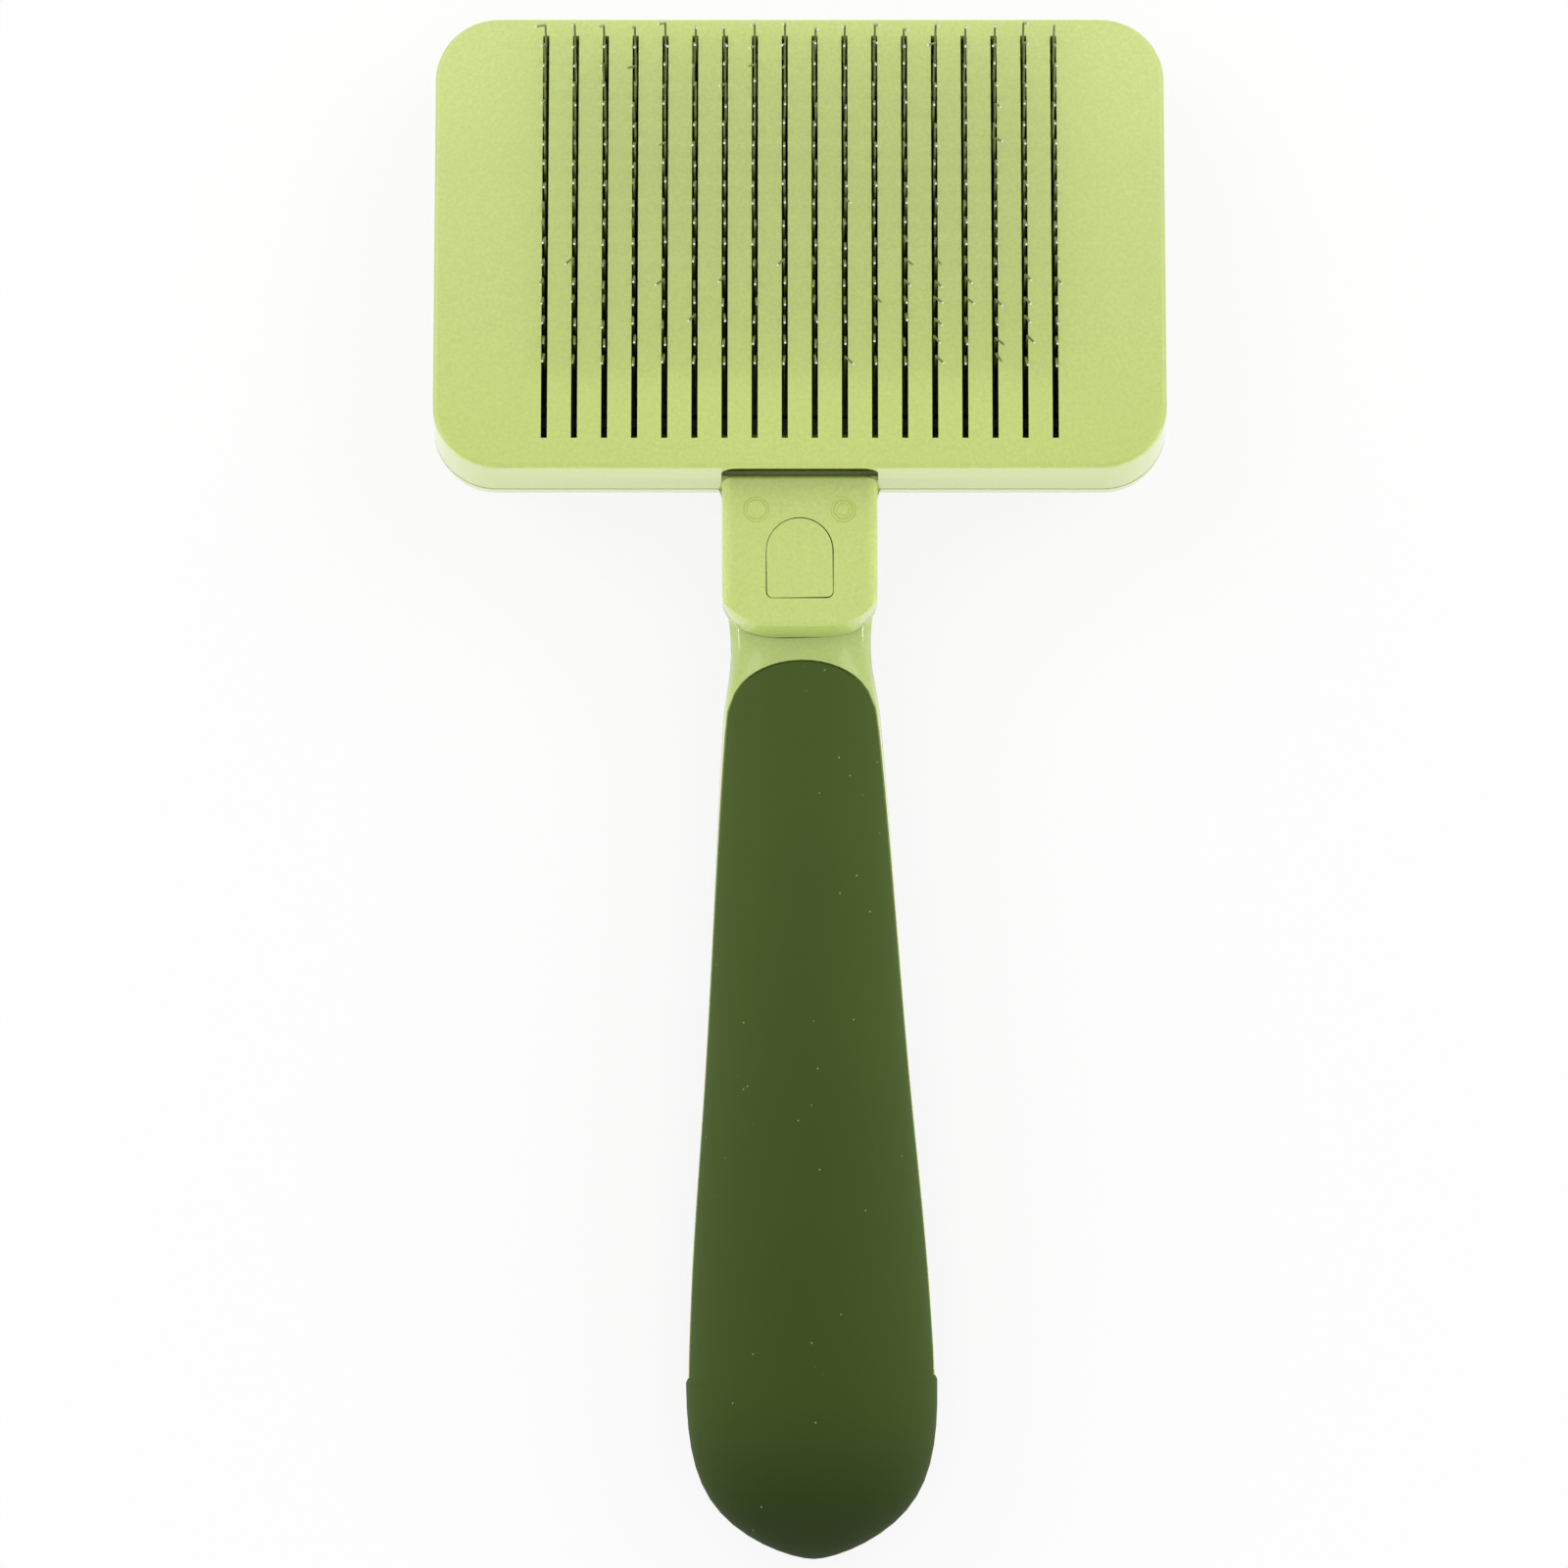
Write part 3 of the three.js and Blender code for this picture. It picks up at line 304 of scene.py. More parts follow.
class BRUSH_PG_finish(bpy.types.PropertyGroup):
    plastic: colour("Plastic", "Lime ABS of the shells, the button and the handle", "#c0d26f")
    rubber: colour("Grip", "Green rubber of the grip and the thumb pad", "#485a26")
    pad: colour("Pin pads", "Rubber in which the pins stand", "#3a4222")
    carrier: colour("Carrier", "Nylon of the pin carrier", "#2d3418")
    # The wire's dark olive colour is a painted reflection of the dark and green surroundings it
    # mirrors.
    wire: colour("Wire", "Stainless wire of the pins", "#97997a")
    # This steel is also the bright steel that paints glints on the pins' knees and tips.
    steel: colour("Steel", "Bright steel of the pins' knees, the springs and the screws", "#e4e7dc")


# ---------------------------------------------------------------- frames of the pieces

SLIDE = Vector(frame["joints"][0]["axis"])


def head_place():
    """The head's own frame: origin in the middle of the face, +Z out of it along the slide."""
    turn = Matrix.Rotation(-math.atan2(SLIDE.y, SLIDE.z), 4, "X")
    back = turn.inverted()
    points = [back @ vertex.co for vertex in frame["nodes"]["front_shell"].data.vertices]
    middle = [(min(p[axis] for p in points) + max(p[axis] for p in points)) / 2 for axis in (0, 1)]
    origin = turn @ Vector((middle[0], middle[1], max(p.z for p in points)))
    return Matrix.Translation(origin) @ turn @ Matrix.Scale(MM, 4)


def sleeve_place():
    """The sleeve's frame in the head's: origin on the handle's axis at its lower end."""
    turn = Matrix.Rotation(HANDLE_BEND, 4, "X")
    end = turn @ Vector((0, -SLEEVE_LENGTH, -SLEEVE_DEPTH))
    return Matrix.Translation((0, -HALF_LENGTH + end.y, -SLEEVE_RECESS + end.z)) @ turn


def handle_place():
    """The handle's own frame: the sleeve's, turned a little about the middle of the tang."""
    pivot = Matrix.Translation((0, TANG / 2, 0))
    return HEAD @ SLEEVE @ pivot @ Matrix.Rotation(HANDLE_LEAN, 4, "Z") @ pivot.inverted()


HEAD = head_place()
SLEEVE = sleeve_place()
HANDLE = handle_place()

# ---------------------------------------------------------------- modelling helpers


def only(kind, items):
    """The vertices, the edges or the faces among what an operator gives."""
    return [item for item in items if isinstance(item, kind)]


def everything(shape):
    return shape.verts[:] + shape.edges[:] + shape.faces[:]


def block(low, high):
    """A box between two corners."""
    shape = bmesh.new()
    bmesh.ops.create_cube(shape, size=1)
    low, high = Vector(low), Vector(high)
    bmesh.ops.scale(shape, vec=high - low, verts=shape.verts)
    bmesh.ops.translate(shape, vec=(low + high) / 2, verts=shape.verts)
    return shape


def edges(shape, test):
    """The edges both of whose ends pass a test."""
    return [edge for edge in shape.edges if all(test(vert.co) for vert in edge.verts)]


def span(edge):
    return edge.verts[0].co - edge.verts[1].co


def upright(shape, test=lambda at: True):
    """The edges that run along Z."""
    return [edge for edge in edges(shape, test) if span(edge).to_2d().length < HAIR]


def lengthwise(chosen):
    """Those of some edges that run along Y."""
    return [edge for edge in chosen if abs(span(edge).y) > HAIR]


def level(shape, height):
    """The faces that lie at a height."""
    return [face for face in shape.faces
            if all(abs(vert.co.z - height) < HAIR for vert in face.verts)]


def rounded(shape, chosen, radius, segments):
    """Rounds edges with an arc of a radius."""
    return bmesh.ops.bevel(shape, geom=chosen, offset=radius, segments=segments, profile=0.5,
                           affect="EDGES", clamp_overlap=True, material=-1)


def rounded_top(shape, height, radius, segments):
    """Rounds the edges round the top of a shape."""
    return rounded(shape, edges(shape, lambda at: at.z > height - HAIR), radius, segments)


def rim(faces):
    """The edges round a patch of faces."""
    patch = set(faces)
    return [edge for face in faces for edge in face.edges
            if sum(other in patch for other in edge.link_faces) == 1]


def inset(shape, faces, thickness):
    """Insets a patch of faces and gives the band that this leaves round it."""
    return bmesh.ops.inset_region(shape, faces=faces, thickness=thickness,
                                  use_even_offset=True)["faces"]


def pushed(shape, faces, offset):
    """Extrudes faces by an offset and gives the moved faces."""
    grown = bmesh.ops.extrude_face_region(shape, geom=faces)["geom"]
    bmesh.ops.delete(shape, geom=faces, context="FACES_ONLY")
    bmesh.ops.translate(shape, vec=offset, verts=only(BMVert, grown))
    return only(BMFace, grown)


def plate(half_x, half_y, corner, low, high, middle_y=0, segments=10):
    """An upright block with rounded corners, which stay just short of meeting."""
    shape = block((-half_x, middle_y - half_y, low), (half_x, middle_y + half_y, high))
    rounded(shape, upright(shape), min(corner, 0.99 * half_x, 0.99 * half_y), segments)
    return shape


def turned(profile, segments=32, at=(0, 0, 0)):
    """A shape turned about Z from a profile of radius and height."""
    shape = bmesh.new()
    points = [shape.verts.new((radius, 0, height)) for radius, height in profile]
    lines = [shape.edges.new(pair) for pair in zip(points, points[1:])]
    bmesh.ops.spin(shape, geom=points + lines, cent=(0, 0, 0), axis=Z, angle=2 * math.pi,
                   steps=segments, use_merge=True)
    bmesh.ops.remove_doubles(shape, verts=shape.verts, dist=HAIR)
    bmesh.ops.recalc_face_normals(shape, faces=shape.faces)
    bmesh.ops.translate(shape, vec=at, verts=shape.verts)
    return shape


def pillars(places, radius, low, high, segments=32):
    """Upright cylinders, one at each place."""
    profile = [(0, low), (radius, low), (radius, high), (0, high)]
    return [turned(profile, segments, (*at, 0)) for at in places]


def placed(shape, matrix):
    bmesh.ops.transform(shape, matrix=matrix, verts=shape.verts)
    return shape


def closed(shape):
    """Fills a shape's open ends and turns all its faces outwards."""
    bmesh.ops.holes_fill(shape, edges=[edge for edge in shape.edges if edge.is_boundary], sides=0)
    bmesh.ops.recalc_face_normals(shape, faces=shape.faces)
    return shape


def trimmed(shape, point, normal):
    """Cuts away what lies on the normal's side of a plane and closes the cut."""
    line = bmesh.ops.bisect_plane(shape, geom=everything(shape), dist=HAIR / 10, plane_co=point,
                                  plane_no=normal, clear_outer=True)["geom_cut"]
    bmesh.ops.holes_fill(shape, edges=only(BMEdge, line), sides=0)
    return shape


def together(shapes):
    """Several shapes as one."""
    whole = bmesh.new()
    for shape in shapes:
        mesh = bpy.data.meshes.new("part")
        shape.to_mesh(mesh)
        shape.free()
        whole.from_mesh(mesh)
        bpy.data.meshes.remove(mesh)
    return whole


def worked(operation, target, tool):
    """Cuts a closed shape with another, joins them, or keeps what they share."""
    holders = []
    for shape in (target, tool):
        mesh = bpy.data.meshes.new("blank")
        shape.to_mesh(mesh)
        shape.free()
        holders.append(bpy.data.objects.new("blank", mesh))
        bpy.context.scene.collection.objects.link(holders[-1])
    modifier = holders[0].modifiers.new("work", "BOOLEAN")
    modifier.operation, modifier.object, modifier.solver = operation, holders[1], "EXACT"
    result = bmesh.new()
    result.from_object(holders[0], bpy.context.evaluated_depsgraph_get())
    for holder in holders:
        mesh = holder.data
        bpy.data.objects.remove(holder)
        bpy.data.meshes.remove(mesh)
    bmesh.ops.remove_doubles(result, verts=result.verts, dist=HAIR / 10)
    bmesh.ops.dissolve_degenerate(result, edges=result.edges, dist=HAIR / 10)
    if not result.faces:
        raise RuntimeError("a boolean left nothing")
    return result


def cut(target, *tools):
    return worked("DIFFERENCE", target, together(tools))


def joined(target, *tools):
    for tool in tools:
        target = worked("UNION", target, tool)
    return target


def shared(target, tool):
    return worked("INTERSECT", target, tool)


def four(at_x, at_y, middle_y=0):
    """The four corners of a rectangle, in the order of the CAD's springs and screws."""
    return [(x, middle_y + y) for y in (at_y, -at_y) for x in (-at_x, at_x)]


def finished(shape, name, matrix, body, material, nodes=(), sharp=32):
    """Makes a shape a piece: in its place, smooth between its sharp edges, on its body."""
    placed(shape, matrix)
    open_edges = sum(len(edge.link_faces) != 2 for edge in shape.edges)
    if open_edges:
        print("NOTE", name, "has", open_edges, "open edges")
    mesh = bpy.data.meshes.new(name)
    shape.to_mesh(mesh)
    shape.free()
    mesh.shade_smooth()
    mesh.set_sharp_from_angle(angle=math.radians(sharp))
    mesh.materials.append(material)
    piece = bpy.data.objects.new(name, mesh)
    bpy.context.scene.collection.objects.link(piece)
    piece.modifiers.new("even shading", "WEIGHTED_NORMAL").keep_sharp = True
    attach(piece, body)
    if nodes:
        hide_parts(*nodes)
    return piece


# ---------------------------------------------------------------- materials


def add(tree, kind, settings=None, links=None):
    """Adds a node; a setting is a property of the node where it has one, or else a socket."""
    node = tree.nodes.new("ShaderNode" + kind)
    for name, value in (settings or {}).items():
        if isinstance(name, str) and hasattr(node, name):
            setattr(node, name, value)
        else:
            node.inputs[name].default_value = value
    for name, source in (links or {}).items():
        tree.links.new(source, node.inputs[name])
    return node


def made_of(name, surface, *looks):
    """The material of a name. Where it is new, a function makes its surface in an empty tree,
    from the object's own coordinates and what else it is given."""
    material = bpy.data.materials.get(name)
    if not material:
        material = bpy.data.materials.new(name)
        material.use_nodes = True
        tree = material.node_tree
        tree.nodes.clear()
        shader = surface(tree, add(tree, "TexCoord").outputs["Object"], *looks)
        add(tree, "OutputMaterial", {}, {"Surface": shader.outputs[0]})
    return material


def per(size):
    """The scale of a pattern whose features are a size in millimetres."""
    return 1 / (size * MM)


def shade(value, factor):
    """A colour made darker or paler."""
    return [*(min(1, channel * factor) for channel in value[:3]), 1]


def mottled(tree, pattern, value, darkest, palest):
    """A colour that goes from a darker shade to a paler one with a pattern."""
    ends = {6: shade(value, darkest), 7: shade(value, palest)}
    return add(tree, "Mix", {"data_type": "RGBA", **ends}, {0: pattern}).outputs[2]


def tinted(tree, tone, height, start, end, tint, fade="LINEAR"):
    """A tone multiplied by a tint that grows from one height along the brush to another."""
    share = add(tree, "MapRange", {"interpolation_type": fade, "From Min": start, "From Max": end},
                {0: height})
    return add(tree, "Mix", {"data_type": "RGBA", "blend_type": "MULTIPLY", 7: (*tint, 1)},
               {0: share.outputs[0], 6: tone}).outputs[2]


def painted_slot_shade(tree, axes):
    """A mask for the painted shade, full among the slots and fading out round them."""
    middle = HEAD @ Vector((0, FIELD_MIDDLE, 0))
    across = [HALF_WIDTH - SIDE_MARGIN + off for off in FIELD_ACROSS]
    masks = []
    for axis, (outer, inner) in enumerate((across, FIELD_ALONG)):
        off = add(tree, "Math", {"operation": "SUBTRACT", 1: middle[axis]}, {0: axes[axis]})
        off = add(tree, "Math", {"operation": "ABSOLUTE"}, {0: off.outputs[0]})
        mask = add(tree, "MapRange", {"interpolation_type": "SMOOTHSTEP", "From Min": outer * MM,
                                      "From Max": inner * MM}, {0: off.outputs[0]})
        masks.append(mask.outputs[0])
    return add(tree, "Math", {"operation": "MULTIPLY"}, dict(enumerate(masks))).outputs[0]


def moulded_abs(tree, place, finish, light_and_tints=(), slotted=False):
    """Injection-moulded ABS with a spark-eroded skin: satin and evenly grained, pale at a glance
    along the surface. Between the slots it can be given a painted shade, for the shade of the pins
    and the light that sinks into the slots. Along the brush its colour is multiplied by factors it
    is given, mostly painted light and shade where the parts are lit more or less."""
    # The spark-eroded grain is really about 0.1 mm across, too fine to show.
    grain = add(tree, "TexNoise", {"Scale": per(0.45), "Detail": 2}, {"Vector": place}).outputs[0]
    drift = add(tree, "TexNoise", {"Scale": per(30), "Detail": 1}, {"Vector": place}).outputs[0]
    tone = mottled(tree, drift, finish.plastic, 0.975, 1.025)
    axes = add(tree, "SeparateXYZ", {}, {0: place}).outputs
    # Painted shade among the slots.
    if slotted:
        tone = add(tree, "Mix", {"data_type": "RGBA", 7: shade(finish.plastic, 0.94)},
                   {0: painted_slot_shade(tree, axes), 6: tone}).outputs[2]
    # Painted light and shade along the brush, and any tint.
    for start, end, tint in light_and_tints:
        tone = tinted(tree, tone, axes[1], start * MM, end * MM, tint)
    spread = {"From Min": 0.3, "From Max": 0.7, "To Min": 0.95, "To Max": 1.05}
    value = add(tree, "MapRange", spread, {0: grain}).outputs[0]
    tone = add(tree, "HueSaturation", {}, {"Value": value, "Color": tone})
    dull = add(tree, "MapRange", {"From Min": 0.35, "From Max": 0.65, "To Min": 0.3, "To Max": 0.4},
               {0: grain})
    skin = add(tree, "Bump", {"Strength": 0.35, "Distance": 0.02 * MM}, {"Height": grain})
    return add(tree, "BsdfPrincipled", {"IOR": 1.54, "Coat Weight": 1.0, "Coat Roughness": 0.12},
               {"Base Color": tone.outputs[0], "Roughness": dull.outputs[0],
                "Normal": skin.outputs[0]})


def soft_touch_rubber(tree, place, finish):
    """Overmoulded thermoplastic rubber: almost without gloss, with a painted shade that darkens it
    towards the butt, where the light falls off and the butt turns away, and a few specks of pale
    dust."""
    # Its grain too is drawn three to four times coarser than it is, so that it shows.
    grain = add(tree, "TexNoise", {"Scale": per(0.4), "Detail": 3}, {"Vector": place})
    drift = add(tree, "TexNoise", {"Scale": per(24), "Detail": 2}, {"Vector": place})
    tone = mottled(tree, drift.outputs[0], finish.rubber, 0.93, 1.07)
    height = add(tree, "SeparateXYZ", {}, {0: place}).outputs[1]
    # Painted shade towards the butt.
    for start, end, tint, fade in GRIP_PAINTED_SHADE:
        start, end = ((HANDLE @ Vector((0, -along, 0))).y for along in (start, end))
        tone = tinted(tree, tone, height, start, end, tint, fade)
    specks = add(tree, "TexVoronoi", {"Scale": per(2.6), "Randomness": 1}, {"Vector": place})
    dust = add(tree, "MapRange", {"From Min": 0.05, "From Max": 0.035, "To Min": 0, "To Max": 0.5},
               {0: specks.outputs["Distance"]})
    dusty = add(tree, "Mix", {"data_type": "RGBA", 7: (*linear(DUST), 1)},
                {0: dust.outputs[0], 6: tone})
    skin = add(tree, "Bump", {"Strength": 0.4, "Distance": 0.03 * MM}, {"Height": grain.outputs[0]})
    return add(tree, "BsdfPrincipled",
               {"IOR": 1.5, "Roughness": 0.78, "Specular IOR Level": 0.12, "Sheen Weight": 0.03,
                "Sheen Roughness": 0.4},
               {"Base Color": dusty.outputs[2], "Normal": skin.outputs[0]})


def pad_rubber(tree, place, finish):
    """Cast rubber of the pads: dull and dark, hardly seen behind the face."""
    grain = add(tree, "TexNoise", {"Scale": per(0.5), "Detail": 2}, {"Vector": place})
    tone = mottled(tree, grain.outputs[0], finish.pad, 0.85, 1.1)
    return add(tree, "BsdfPrincipled", {"IOR": 1.5, "Roughness": 0.85}, {"Base Color": tone})


def moulded_nylon(tree, place, finish):
    """Moulded nylon of the carrier: dark, with a slight sheen."""
    grain = add(tree, "TexNoise", {"Scale": per(0.6), "Detail": 2}, {"Vector": place})
    tone = mottled(tree, grain.outputs[0], finish.carrier, 0.85, 1.15)
    return add(tree, "BsdfPrincipled", {"IOR": 1.53, "Roughness": 0.5}, {"Base Color": tone})


def steel(tree, place, metal, roughness):
    """Drawn stainless wire and zinc-plated screws, with fine streaks in the gloss. The pins' wire
    is dull with use, and its dark olive colour is a painted reflection of the dark and green
    surroundings it mirrors; their knees and tips get a bright steel, as painted glints."""
    streak = add(tree, "TexNoise", {"Scale": per(0.15), "Detail": 2}, {"Vector": place}).outputs[0]
    dull = add(tree, "MapRange", {"From Min": 0.3, "From Max": 0.7, "To Min": roughness - 0.06,
                                  "To Max": roughness + 0.08}, {0: streak})
    return add(tree, "BsdfPrincipled", {"Metallic": 1.0},
               {"Base Color": mottled(tree, streak, metal, 0.94, 1.06),
                "Roughness": dull.outputs[0]})


# ---------------------------------------------------------------- head


def head_half(head):
    """Half the width and half the length of the head, in millimetres."""
    return head.width / MM / 2, head.length / MM / 2


def slot_pitch(head):
    return (head.width / MM - 2 * SIDE_MARGIN) / (head.slots - 1)


def slot_middles(head):
    """Where the slots lie across the head."""
    return [(slot - (head.slots - 1) / 2) * slot_pitch(head) for slot in range(head.slots)]


def sleeve_plan(half, grow, low, high):
    """The sleeve's outline, with elliptical corners at its lower end, as an upright block."""
    across, along = (axis + grow for axis in SLEEVE_CORNER)
    stretch = across / along
    top = SLEEVE_LENGTH + 2 * SLEEVE_DEPTH
    plan = block((-half, -grow * stretch, low), (half, top * stretch, high))
    rounded(plan, upright(plan, lambda at: at.y < HAIR), across, 14)
    bmesh.ops.scale(plan, vec=(1, 1 / stretch, 1), verts=plan.verts)
    return plan


def sleeve_solid(grow, proud=False):
    """The sleeve's outside in the head's frame, running on into the head."""
    half, front = SLEEVE_HALF + grow, SLEEVE_DEPTH + grow
    slope, depth = SLEEVE_SLOPE
    corner = SLEEVE_CORNER[1]
    top = SLEEVE_LENGTH + 2 * SLEEVE_DEPTH
    plan = sleeve_plan(half, grow, -front, front)
    bmesh.ops.bisect_plane(plan, geom=everything(plan), dist=HAIR / 10,
                           plane_co=(0, 0, front - depth), plane_no=Z)
    lower = [vert for vert in plan.verts
             if vert.co.z > front - HAIR and vert.co.y < corner + HAIR]
    bmesh.ops.translate(plan, vec=(0, slope, 0), verts=lower)
    crisp = edges(plan, lambda at: at.z > front - HAIR and at.y < corner + slope + HAIR)
    rounded(plan, crisp, CREASE, 2)
    sides = block((-half, -grow, -front), (half, top + PAST, front))
    back_end = edges(sides, lambda at: at.y < HAIR and at.z < 0)
    rounded(sides, lengthwise(sides.edges) + back_end, SLEEVE_EDGE, 5)
    sleeve = shared(plan, sides)
    if proud:
        sleeve = proud_block(sleeve)
    return trimmed(placed(sleeve, SLEEVE), (0, BACK_EDGE - HALF_LENGTH, 0), Y)


def proud_block(sleeve):
    """Steps the sleeve back where it enters the head, so that its proud front ends at the wall."""
    gap, step, corner = BLOCK
    front = plate(SLEEVE_HALF, SLEEVE_LENGTH - gap, corner, -2 * SLEEVE_DEPTH, SLEEVE_DEPTH)
    rounded_top(front, SLEEVE_DEPTH, BLOCK_EDGE, 4)
    far = 4 * SLEEVE_LENGTH
    behind = block((-far, -far, -far), (far, far, SLEEVE_DEPTH - step))
    return joined(shared(sleeve.copy(), front), shared(sleeve, behind))


class BRUSH_OT_front_shell(bpy.types.Operator):
    """Adds the lime front shell with its slotted face."""
    bl_idname = "brush.front_shell"
    bl_label = "Front shell"

    def execute(self, context):
        head, finish = context.scene.brush_head, context.scene.brush_finish
        half_x, half_y = head_half(head)
        shell = plate(half_x, half_y, head.corner / MM, -PARTING, 0, segments=CORNER_STEPS)
        draft = ((half_x + WALL_DRAFT) / half_x, (half_y + WALL_DRAFT) / half_y, 1)
        bmesh.ops.scale(shell, vec=draft, verts=[v for v in shell.verts if v.co.z < -HAIR])
        rounded_top(shell, 0, head.face_edge / MM, 6)
        joint = level(shell, -PARTING)
        inset(shell, joint, FRONT_WALL + WALL_DRAFT)
        pushed(shell, joint, (0, 0, PARTING - FRONT_WALL))
        self.open_slots(shell, head, half_y)
        posts = pillars(four(SPRING_X, SPRING_SPREAD, SPRING_MIDDLE), POST_RADIUS,
                        CUP_BOTTOM + CLEARANCE, ROOT - FRONT_WALL)
        bosses = pillars(four(*BOSS_AT), BOSS_RADIUS, -PARTING, ROOT - FRONT_WALL)
        pilots = pillars(four(*BOSS_AT), SCREW_RADIUS + CLEARANCE, -PARTING - PAST,
                         SCREW_SEAT + SHELL_SCREW + PAST)
        shell = cut(shell, sleeve_solid(NECK_GAP))
        shell = cut(joined(shell, together(posts + bosses)), *pilots)
        # The face carries painted shade among the slots and a painted highlight along its far edge.
        finished(cut(shell, self.doorway()), "front_shell_cap", HEAD, "brush",
                 made_of("lime_abs_face_light_and_shade", moulded_abs, finish, FACE_LIGHT_AND_TINT, True),
                 ["front_shell"])
        return {"FINISHED"}

    def doorway(self):
        """A cutter that opens the wall over the neck block, which leaves a dark gap there."""
        low, (top, corner) = -2 * SLEEVE_RECESS, DOORWAY
        door = block((-SLEEVE_HALF - NECK_GAP, -HALF_LENGTH - PAST, low),
                     (SLEEVE_HALF + NECK_GAP, ROOT + FRONT_WALL - HALF_LENGTH, top))
        rounded(door, lengthwise(edges(door, lambda at: at.z > low + HAIR)), corner, 6)
        return door

    def open_slots(self, shell, head, half_y):
        """Cuts the slots through the face and rounds their rims."""
        near, far = NEAR_MARGIN - half_y, half_y - FAR_MARGIN
        half, middles = head.slot_width / MM / 2, slot_middles(head)

        def in_slot(at, spare):
            return (near - spare < at.y < far + spare
                    and min(abs(at.x - x) for x in middles) < half + spare)

        mouths = []
        for height in (0, -FRONT_WALL):
            for along in (near, far):
                self.slice(shell, level(shell, height), (0, along, height), Y)
            strip = [face for face in level(shell, height)
                     if near < face.calc_center_median().y < far]
            for x in middles:
                for side in (-half, half):
                    strip = self.slice(shell, strip, (x + side, 0, height), X)
            mouths += [face for face in strip if in_slot(face.calc_center_median(), 0)]
        mouths.sort(key=lambda face: round(face.calc_center_median().x, 2))
        pairs = [upper.edges[:] + lower.edges[:] for upper, lower in zip(mouths[::2], mouths[1::2])]
        bmesh.ops.delete(shell, geom=mouths, context="FACES_ONLY")
        for pair in pairs:
            bmesh.ops.bridge_loops(shell, edges=pair)
        bmesh.ops.recalc_face_normals(shell, faces=shell.faces)
        rims = [edge for edge in edges(shell, lambda at: abs(at.z) < HAIR and in_slot(at, HAIR))
                if any(abs(face.normal.z) < 0.5 for face in edge.link_faces)]
        rounded(shell, rims, head.slot_rim / MM, 2)

    def slice(self, shell, faces, point, normal):
        """Cuts flat faces along a line and gives all their parts."""
        geometry = set(faces)
        for face in faces:
            geometry.update(face.edges)
            geometry.update(face.verts)
        parts = bmesh.ops.bisect_plane(shell, geom=list(geometry), dist=HAIR / 10,
                                       plane_co=point, plane_no=normal)["geom"]
        return only(BMFace, parts)


def tab_block(grow, low, high):
    """The tab with its round top, or the cutter for its window."""
    width, height, corner, start = TAB
    half = width / 2 + grow
    shape = block((-half, start - grow, low), (half, start + height + grow, high))
    rounded(shape, upright(shape, lambda at: at.y > start + 1), 0.995 * half, 12)
    rounded(shape, upright(shape, lambda at: at.y < start + 1), corner + grow, 5)
    return shape


def sleeve_room(low, high, shrink):
    """The room in the sleeve, or the tang that fills it but for a clearance."""
    side, front = SLEEVE_WALL
    half = SLEEVE_HALF - side - shrink
    return block((-half, low, side + shrink - SLEEVE_DEPTH),
                 (half, high, SLEEVE_DEPTH - front - shrink))


